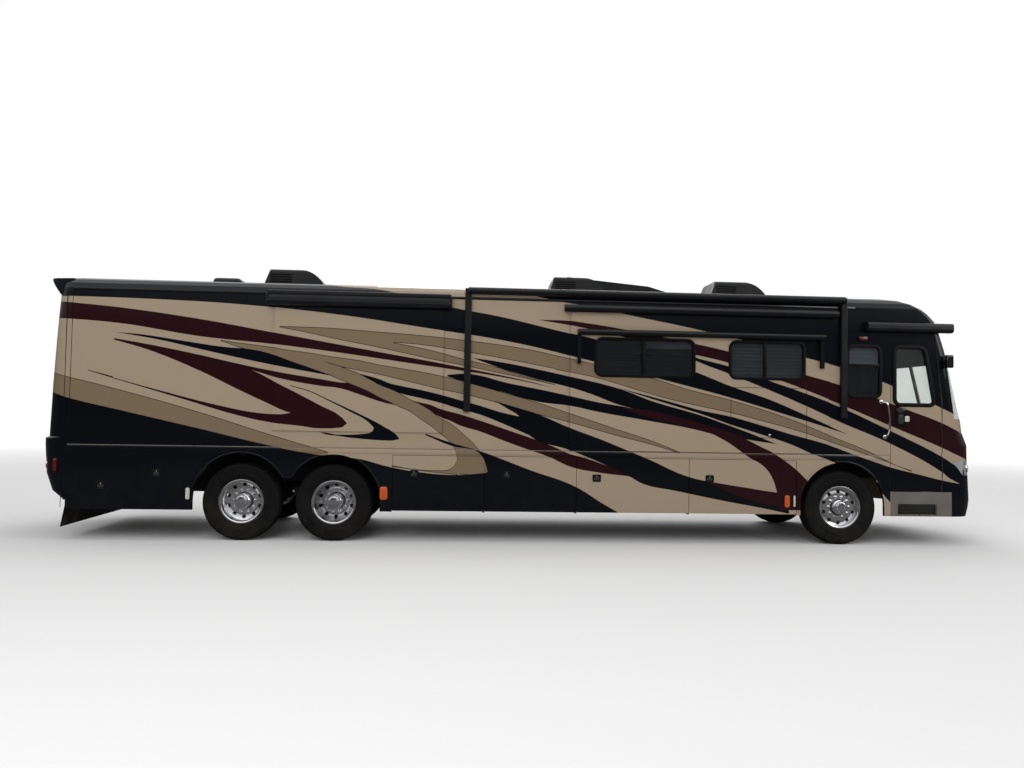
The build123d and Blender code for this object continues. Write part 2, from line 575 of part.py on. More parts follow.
# Awnings on the right side: long patio roller on two arms, short case over the entry door
PATIO_ARMS_X = (DRIVE_AXLE_X + 1758, FRONT_AXLE_X + 5)
ARM_W = 90
ARM_EDGE_R = 15
ARM_T = 55
ARM_Z0 = 1765
ARM_Z1 = 3440
PATIO_ROLLER_R = 50
PATIO_ROLLER_Y = -HALF_WIDTH - 60
PATIO_ROLLER_Z = 3405
patio = cylinder_x(PATIO_ARMS_X[0], PATIO_ARMS_X[1], PATIO_ROLLER_Y, PATIO_ROLLER_Z, PATIO_ROLLER_R)
for x in PATIO_ARMS_X:
    arm = block(x - ARM_W / 2, x + ARM_W / 2, -HALF_WIDTH - ARM_T, -HALF_WIDTH, ARM_Z0, ARM_Z1)
    patio += fillet(arm.edges().filter_by(Axis.Z).group_by(Axis.Y)[0], ARM_EDGE_R)
DOOR_AWNING = (DOOR_X0 - 366, DOOR_X1 + 120, DOOR_TOP_Z + 55, DOOR_TOP_Z + 185)
case = block(DOOR_AWNING[0], DOOR_AWNING[1], -HALF_WIDTH - 105, -HALF_WIDTH, DOOR_AWNING[2], DOOR_AWNING[3])
case = fillet(case.edges().filter_by(Axis.X).group_by(Axis.Y)[0], 45)
PARTS["awnings"] = Compound(children=[patio, case])

# Roof equipment: three air units, a long wedge cover and a low vent
AIR_L = 930
AIR_W = 720
AIR_H = 320
AIR_BACK_LEAN = 110
AIR_SIDE_LEAN = 50
AIR_EDGE_R = 60
AIR_SLOTS = 6
AIR_X = (DRIVE_AXLE_X - 780, FRONT_AXLE_X - 3600, FRONT_AXLE_X - 1150)


def air_unit(x):
    """Air unit cover: steep back, flat top, a round nose and slots in its sides."""
    back = x - AIR_L / 2
    nose = x + AIR_L / 2
    top = ROOF_Z + AIR_H
    crown = back + AIR_L / 2
    edges = [
        Line((back, 0, ROOF_Z), (back + AIR_BACK_LEAN, 0, top)),
        Line((back + AIR_BACK_LEAN, 0, top), (crown, 0, top)),
        ThreePointArc((crown, 0, top), (nose - 150, 0, top - 90), (nose, 0, ROOF_Z)),
        Line((nose, 0, ROOF_Z), (back, 0, ROOF_Z)),
    ]
    cover = Pos(0, -AIR_W / 2, 0) * extrude(make_face(edges), amount=AIR_W, dir=(0, 1, 0))
    half = AIR_W / 2
    front = make_face(Polyline([(-half, -20), (half, -20), (half - AIR_SIDE_LEAN, AIR_H), (AIR_SIDE_LEAN - half, AIR_H)],
                               close=True))
    front = fillet(front.vertices().group_by(Axis.Y)[-1], AIR_EDGE_R)
    cover &= Pos(back - 10, 0, ROOF_Z) * extrude(Plane.YZ * front, amount=AIR_L + 20)
    slot_step = (AIR_H - 120) / AIR_SLOTS
    for index in range(AIR_SLOTS):
        low = ROOF_Z + 60 + index * slot_step
        for side in (-1, 1):
            y0, y1 = sorted((side * (half - AIR_SIDE_LEAN - 12), side * half))
            cover -= block(back + 120, crown - 40, y0, y1, low, low + slot_step / 2)
    return cover


WEDGE_X0 = FRONT_AXLE_X - 4130
WEDGE_PEAK_X = WEDGE_X0 + 370
WEDGE_SHOULDER_X = WEDGE_X0 + 1600
WEDGE_SHOULDER_H = 210
WEDGE_X1 = WEDGE_X0 + 2330
WEDGE_HALF_W = 300
units = [air_unit(x) for x in AIR_X]
wedge_outline = ((WEDGE_X0, ROOF_Z), (WEDGE_X1, ROOF_Z), (WEDGE_SHOULDER_X, ROOF_Z + WEDGE_SHOULDER_H),
                 (WEDGE_PEAK_X, ROOF_Z + AIR_H))
wedge = side_prism(wedge_outline, -WEDGE_HALF_W, WEDGE_HALF_W)
units[1] += wedge
VENT_X = TAIL_X + 1880
vent = Pos(VENT_X + 225, 0, ROOF_Z) * extrude(RectangleRounded(450, 450, 90), amount=190, taper=8)
vent = fillet(vent.edges().group_by(Axis.Z)[-1], 55)
units.append(vent)
PARTS["roof_equipment"] = Compound(children=units)

# Mirrors on short arms at the front corners
MIRROR_X = FRONT_CAP_X + 12
MIRROR_Z = DOOR_TOP_Z - 435
MIRROR_W = 80
MIRROR_H = 180
mirrors = []
for side in (-1, 1):
    y0, y1 = sorted((side * (HALF_WIDTH + 30), side * (HALF_WIDTH + 115)))
    mirror = block(MIRROR_X, MIRROR_X + MIRROR_W, y0, y1, MIRROR_Z, MIRROR_Z + MIRROR_H)
    mirror = fillet(mirror.edges().filter_by(Axis.X), 26)
    y0, y1 = sorted((side * (HALF_WIDTH - 60), side * (HALF_WIDTH + 40)))
    mirror += block(MIRROR_X, MIRROR_X + 36, y0, y1, MIRROR_Z + 50, MIRROR_Z + 100) - OUTER
    mirrors.append(mirror)
PARTS["mirrors"] = Compound(children=mirrors)

# Chassis frame: rails, cross bearers, rear cross tube and hitch receiver
BEARERS = [REAR_CAP_X + 380, TAG_AXLE_X - 880, TAG_AXLE_X, DRIVE_AXLE_X, FRONT_AXLE_X, FRONT_AXLE_X + 600, FRONT_CAP_X - 50]
BEARERS += BAY_EDGES
frame = Part()
for side in (-1, 1):
    frame += block(RAIL_X0, RAIL_X1, side * RAIL_Y - RAIL_W / 2, side * RAIL_Y + RAIL_W / 2, RAIL_Z0, RAIL_Z1)
for x in BEARERS:
    half = HALF_WIDTH - 115
    right = -half if not DOOR_X0 - 60 < x < DOOR_X1 + 60 else STEP_WELL_Y + 20
    frame += block(x - 40, x + 40, right, half, RAIL_Z1, FLOOR_Z)
CROSS_X1 = REAR_CAP_X
CROSS_X0 = CROSS_X1 - 60
CROSS_Z0 = REAR_SKIRT_Z - 90
CROSS_HALF_W = HALF_WIDTH - 295
frame += block(CROSS_X0, CROSS_X1, -CROSS_HALF_W, CROSS_HALF_W, CROSS_Z0, CROSS_Z0 + 80)
for side in (-1, 1):
    y0 = side * RAIL_Y - RAIL_W / 2
    frame += block(CROSS_X0, RAIL_X0 + 100, y0, y0 + RAIL_W, CROSS_Z0, RAIL_Z1)
half = RECEIVER_W / 2
frame += block(RECEIVER_X0, CROSS_X1, -half, half, RECEIVER_Z - half, RECEIVER_Z + half)
bore = RECEIVER_BORE / 2
frame -= block(RECEIVER_X0 - 10, CROSS_X0 - 20, -bore, bore, RECEIVER_Z - bore, RECEIVER_Z + bore)
frame -= cylinder_y(HITCH_PIN_X, -100, 100, RECEIVER_Z, HITCH_PIN_R)
PARTS["chassis_frame"] = frame

# Rear guard hanging from the cross tube, its lower part leaning back
GUARD_T = 8
GUARD_Z0 = 150
GUARD_LEAN = 50
GUARD_HALF_W = HALF_WIDTH - 175
GUARD_BEND_Z = CROSS_Z0
guard_back = CROSS_X0 - GUARD_T
guard_points = (
    (CROSS_X0, REAR_SKIRT_Z - 5), (guard_back, REAR_SKIRT_Z - 5), (guard_back, GUARD_BEND_Z),
    (guard_back - GUARD_LEAN, GUARD_Z0), (CROSS_X0 - GUARD_LEAN, GUARD_Z0), (CROSS_X0, GUARD_BEND_Z),
)
hole = RECEIVER_W / 2 + 10
guard = side_prism(guard_points, -GUARD_HALF_W, GUARD_HALF_W)
PARTS["rear_guard"] = guard - block(-FAR, FAR, -hole, hole, RECEIVER_Z - hole, FAR)

# Engine with gearbox, one plain block on mounts, and the drive shaft over the tag axle
ENGINE_X0 = REAR_CAP_X + 180
ENGINE_X1 = TAG_AXLE_X - 680
SHAFT_R = 45
SHAFT_Z = TYRE_R + 150
engine = block(ENGINE_X0, ENGINE_X1, -340, 340, TYRE_R + 45, RAIL_Z1 - 10)
for x in (ENGINE_X0 + 300, ENGINE_X1 - 300):
    engine += block(x - 50, x + 50, -RAIL_Y + RAIL_W / 2, RAIL_Y - RAIL_W / 2, RAIL_Z0 + 20, RAIL_Z0 + 120)
engine += cylinder_x(ENGINE_X1, DRIVE_AXLE_X - 215, 0, SHAFT_Z, SHAFT_R)
PARTS["engine"] = engine


def spring(x, y, z0):
    return cylinder_z(x, y, z0, RAIL_Z0, 110)


# Axles
DIFF_R = 205
SPINDLE_END = WHEEL_Y + 40
for name, x, hub_y in (("drive_axle", DRIVE_AXLE_X, WHEEL_Y - 345), ("tag_axle", TAG_AXLE_X, WHEEL_Y - 210)):
    axle = cylinder_y(x, -hub_y, hub_y, TYRE_R, 62)
    axle += cylinder_y(x, -SPINDLE_END, SPINDLE_END, TYRE_R, AXLE_SPINDLE_R)
    if name == "drive_axle":
        axle += cylinder_y(x, -150, 150, TYRE_R, DIFF_R)
        axle += cylinder_x(x - 214.7, x, 0, SHAFT_Z, SHAFT_R + 10)
    for side in (-1, 1):
        axle += block(x - 330, x + 330, side * RAIL_Y - 45, side * RAIL_Y + 45, TYRE_R, TYRE_R + 90)
        for ahead in (-240, 240):
            axle += spring(x + ahead, side * RAIL_Y, TYRE_R + 60)
    PARTS[name] = axle

EYE_R = 50
PIN_R = 25
YOKE_HALF_H = 110
EYE_HALF_H = 60
BEAM_Z1 = TYRE_R - 15
BEAM_HALF_W = KINGPIN_Y - 130
beam = block(FRONT_AXLE_X - 50, FRONT_AXLE_X + 50, -BEAM_HALF_W, BEAM_HALF_W, BEAM_Z1 - 100, BEAM_Z1)
for side in (-1, 1):
    y0, y1 = sorted((side * (KINGPIN_Y - 210), side * (KINGPIN_Y - 10)))
    beam += block(FRONT_AXLE_X - 35, FRONT_AXLE_X + 35, y0, y1, TYRE_R - EYE_HALF_H, TYRE_R + EYE_HALF_H)
    beam += cylinder_z(FRONT_AXLE_X, side * KINGPIN_Y, TYRE_R - EYE_HALF_H, TYRE_R + EYE_HALF_H, EYE_R)
    beam -= cylinder_z(FRONT_AXLE_X, side * KINGPIN_Y, 0, FAR, PIN_R + RUN)
    beam += spring(FRONT_AXLE_X, side * RAIL_Y, BEAM_Z1 - 10)
PARTS["front_axle"] = beam
for side, word in ((-1, "right"), (1, "left")):
    knuckle = cylinder_z(FRONT_AXLE_X, side * KINGPIN_Y, TYRE_R - YOKE_HALF_H, TYRE_R + YOKE_HALF_H, PIN_R)
    for sense in (-1, 1):
        z0, z1 = sorted((TYRE_R + sense * (EYE_HALF_H + GAP), TYRE_R + sense * YOKE_HALF_H))
        y0, y1 = sorted((side * (KINGPIN_Y - 40), side * (KINGPIN_Y + 90)))
        knuckle += block(FRONT_AXLE_X - 40, FRONT_AXLE_X + 40, y0, y1, z0, z1)
    y0, y1 = sorted((side * (KINGPIN_Y + EYE_R + GAP + 3), side * (KINGPIN_Y + 90)))
    knuckle += block(FRONT_AXLE_X - 40, FRONT_AXLE_X + 40, y0, y1, TYRE_R - YOKE_HALF_H, TYRE_R + YOKE_HALF_H)
    knuckle += cylinder_y(FRONT_AXLE_X, side * (KINGPIN_Y + 70), side * (WHEEL_Y + 80), TYRE_R, SPINDLE_R)
    PARTS["knuckle_" + word] = knuckle


def turned(edges):
    """Solid of revolution about Z from edges that run round an outline of radius and height."""
    return revolve(make_face(edges), Axis.Z)


def outline_edges(points):
    return Polyline([(r, 0, w) for r, w in points], close=True)


def tyre():
    half = TYRE_W / 2
    bead = RIM_R - 20
    flank = RIM_R + 3
    seat = RIM_HALF_W - 14
    wall = half - 16
    crown = half - SHOULDER
    edges = [Line((bead, 0, -seat), (bead, 0, seat)), ]
    for side in (-1, 1):
        edges += [
            Line((bead, 0, side * seat), (flank, 0, side * seat)),
            ThreePointArc((flank, 0, side * seat), (flank + 95, 0, side * half), (TYRE_R - SHOULDER, 0, side * wall)),
            ThreePointArc((TYRE_R - SHOULDER, 0, side * wall), (TYRE_R - 14, 0, side * (wall - 9)),
                          (TYRE_R - 3, 0, side * crown)),
        ]
    edges.append(ThreePointArc((TYRE_R - 3, 0, -crown), (TYRE_R, 0, 0), (TYRE_R - 3, 0, crown)))
    return turned(edges)


HAND_HOLES = 10
HAND_HOLE_R = 26
HAND_HOLE_AT = 218
FACE_R = 170


def rim(disc_w):
    """Rim with its disc at one place across the width; +Z is outward."""
    seat = RIM_R - 20 - FIT
    wide = RIM_HALF_W
    solid = turned(outline_edges((
        (RIM_INNER_R, -wide), (RIM_R, -wide), (RIM_R, -wide + 10), (seat, -wide + 13.5), (seat, wide - 13.5),
        (RIM_R, wide - 10), (RIM_R, wide), (RIM_INNER_R, wide),
    )))
    join_w = max(-RIM_HALF_W + 35, min(RIM_HALF_W - 35, disc_w * 0.6))
    edge_r = RIM_INNER_R + 1
    mid_r = (FACE_R + edge_r) / 2 + 12
    mid_w = disc_w + (join_w - disc_w) * 0.35
    edges = [
        Line((100, 0, disc_w - 8), (FACE_R, 0, disc_w - 8)),
        ThreePointArc((FACE_R, 0, disc_w - 8), (mid_r, 0, mid_w - 9), (edge_r, 0, join_w - 10)),
        Line((edge_r, 0, join_w - 10), (edge_r, 0, join_w + 10)),
        ThreePointArc((edge_r, 0, join_w + 10), (mid_r, 0, mid_w + 9), (FACE_R, 0, disc_w + 8)),
        Line((FACE_R, 0, disc_w + 8), (100, 0, disc_w + 8)),
        Line((100, 0, disc_w + 8), (100, 0, disc_w - 8)),
    ]
    solid += turned(edges)
    for index in range(HAND_HOLES):
        turn = Rot(0, 0, (index + 0.5) * 360 / HAND_HOLES)
        solid -= turn * Pos(HAND_HOLE_AT, 0, disc_w) * Cylinder(HAND_HOLE_R, 120)
    return solid


def hub(low, high, radius, bore_r, bore_top):
    solid = Pos(0, 0, (low + high) / 2) * Cylinder(radius, high - low)
    solid = chamfer(solid.edges().group_by(Axis.Z)[-1], 12)
    return solid - Pos(0, 0, (low - 10 + bore_top) / 2) * Cylinder(bore_r, bore_top - low + 10)


STEER_DISC_W = 62
TAG_DISC_W = -60
TWIN_DISC_W = -TWIN_STEP / 2 + 8
WHEELS = (
    # name, axle x, kind
    ("front", FRONT_AXLE_X, "steer"),
    ("drive", DRIVE_AXLE_X, "twin"),
    ("tag", TAG_AXLE_X, "single"),
)
for side, word in ((-1, "right"), (1, "left")):
    for name, x, kind in WHEELS:
        place = Pos(x, side * WHEEL_Y, TYRE_R) * Rot(-90 * side, 0, 0)
        if kind == "steer":
            metal = rim(STEER_DISC_W) + hub(-18, 150, 105, SPINDLE_R + RUN, 85)
        elif kind == "single":
            metal = rim(TAG_DISC_W) + hub(-WHEEL_Y + 895, 105, 105, AXLE_SPINDLE_R + RUN, 45)
        else:
            metal = rim(TWIN_DISC_W) + hub(-340, 105, 105, AXLE_SPINDLE_R + RUN, 45)
            metal += Pos(0, 0, -TWIN_STEP) * Rot(180, 0, 0) * rim(TWIN_DISC_W)
        rubber = tyre()
        if kind == "twin":
            rubber += Pos(0, 0, -TWIN_STEP) * tyre()
        PARTS["rim_%s_%s" % (name, word)] = place * metal
        PARTS["tyre_%s_%s" % (name, word)] = place * rubber

# Cab: dashboard, seats and steering wheel
DASH_X = FRONT_CAP_X - 290
DASH_Z = FLOOR_TOP_Z + 160
dash_outline = (
    (DASH_X, DASH_Z + 80), (DASH_X + 140, DASH_Z), (DASH_X + 520, DASH_Z),
    (DASH_X + 560, DASH_Z + 320), (DASH_X + 80, DASH_Z + 340),
)
dash = outline_prism(dash_outline, -CAB_HALF_W, CAB_HALF_W, 30)
dash += block(DASH_X + 160, DASH_X + 540, STEP_WELL_Y + 100, CAB_HALF_W, FLOOR_TOP_Z, DASH_Z + 50)
PARTS["dashboard"] = dash
SEAT_HALF_W = 270
SEAT_Z = FLOOR_TOP_Z + 300
CUSHION_H = 140
BACK_H = 720
BACK_LEAN = 110
ARM_Y = SEAT_HALF_W + 20
SEATS = ((DOOR_X0 - 90, 560), (DOOR_X0 - 440, -640))
seats = []
for x, y in SEATS:
    seat = block(x - 180, x + 180, y - 180, y + 180, FLOOR_TOP_Z, SEAT_Z + 20)
    seat += window_prism(x - 270, x + 270, SEAT_Z, SEAT_Z + CUSHION_H, y - SEAT_HALF_W, y + SEAT_HALF_W, 50)
    back_points = (
        (x - 270, SEAT_Z + 30), (x - 140, SEAT_Z + 30), (x - 140 - BACK_LEAN, SEAT_Z + CUSHION_H + BACK_H),
        (x - 250 - BACK_LEAN, SEAT_Z + CUSHION_H + BACK_H),
    )
    seat += outline_prism(back_points, y - SEAT_HALF_W + 10, y + SEAT_HALF_W - 10, 45)
    for side in (-1, 1):
        y0, y1 = sorted((y + side * (SEAT_HALF_W - 20), y + side * (SEAT_HALF_W + 50)))
        seat += window_prism(x - 250, x + 160, SEAT_Z + 270, SEAT_Z + 340, y0, y1, 30)
    seats.append(seat)
PARTS["cab_seats"] = Compound(children=seats)
WHEEL_TILT = 30
wheel = Torus(215, 16) + Cylinder(50, 40)
for turn in (0, 120, 240):
    wheel += Rot(0, 0, turn) * Pos(108, 0, 0) * Box(216, 36, 14)
wheel += Pos(0, 0, -110) * Cylinder(32, 220)
PARTS["steering_wheel"] = Pos(DASH_X - 80, SEATS[0][1], DASH_Z + 400) * Rot(0, -WHEEL_TILT, 0) * wheel - dash

for name, shape in PARTS.items():
    export_step(shape, "parts/%s.step" % name)
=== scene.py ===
"""Motorhome looks: swept stripe paint, glass, trim, tyres, wheel nuts, lamps, seats and a plain studio."""
import math

import bmesh
import bpy
from mathutils import Color, Matrix, Vector
from mathutils.bvhtree import BVHTree


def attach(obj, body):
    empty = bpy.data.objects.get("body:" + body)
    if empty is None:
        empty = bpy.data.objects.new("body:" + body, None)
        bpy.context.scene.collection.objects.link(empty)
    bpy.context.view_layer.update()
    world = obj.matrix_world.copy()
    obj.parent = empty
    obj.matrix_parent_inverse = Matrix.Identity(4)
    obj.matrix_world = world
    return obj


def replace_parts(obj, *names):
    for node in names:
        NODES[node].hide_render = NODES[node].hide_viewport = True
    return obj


bl_info = {
    "name": "Motorhome looks",
    "version": (1, 0, 0),
    "blender": (4, 5, 0),
    "location": "3D View > Sidebar > Motorhome",
    "description": "Dresses the motorhome's frame with paint, glass, trim, tyres, lamps and seats",
    "category": "Object",
}

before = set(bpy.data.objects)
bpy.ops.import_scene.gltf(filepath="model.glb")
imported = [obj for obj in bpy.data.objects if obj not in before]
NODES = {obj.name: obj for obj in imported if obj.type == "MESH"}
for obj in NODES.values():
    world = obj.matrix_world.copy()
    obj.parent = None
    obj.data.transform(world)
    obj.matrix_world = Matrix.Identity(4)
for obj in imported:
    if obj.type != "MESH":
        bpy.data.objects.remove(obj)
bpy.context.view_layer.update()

# Places that the fittings share, in metres
WALL_Y = 1.295
SLIDE_Y = 1.319
FRONT_AXLE_X = 4.40
DRIVE_AXLE_X = -2.60
TAG_AXLE_X = -3.82
AXLE_Z = 0.515
WHEEL_Y = 1.10
TWIN_STEP = 0.34
RIM_HALF_W = 0.115
ARCH_Z = 0.545
SKIRT_Z = 0.41
WEB_Z = 0.84

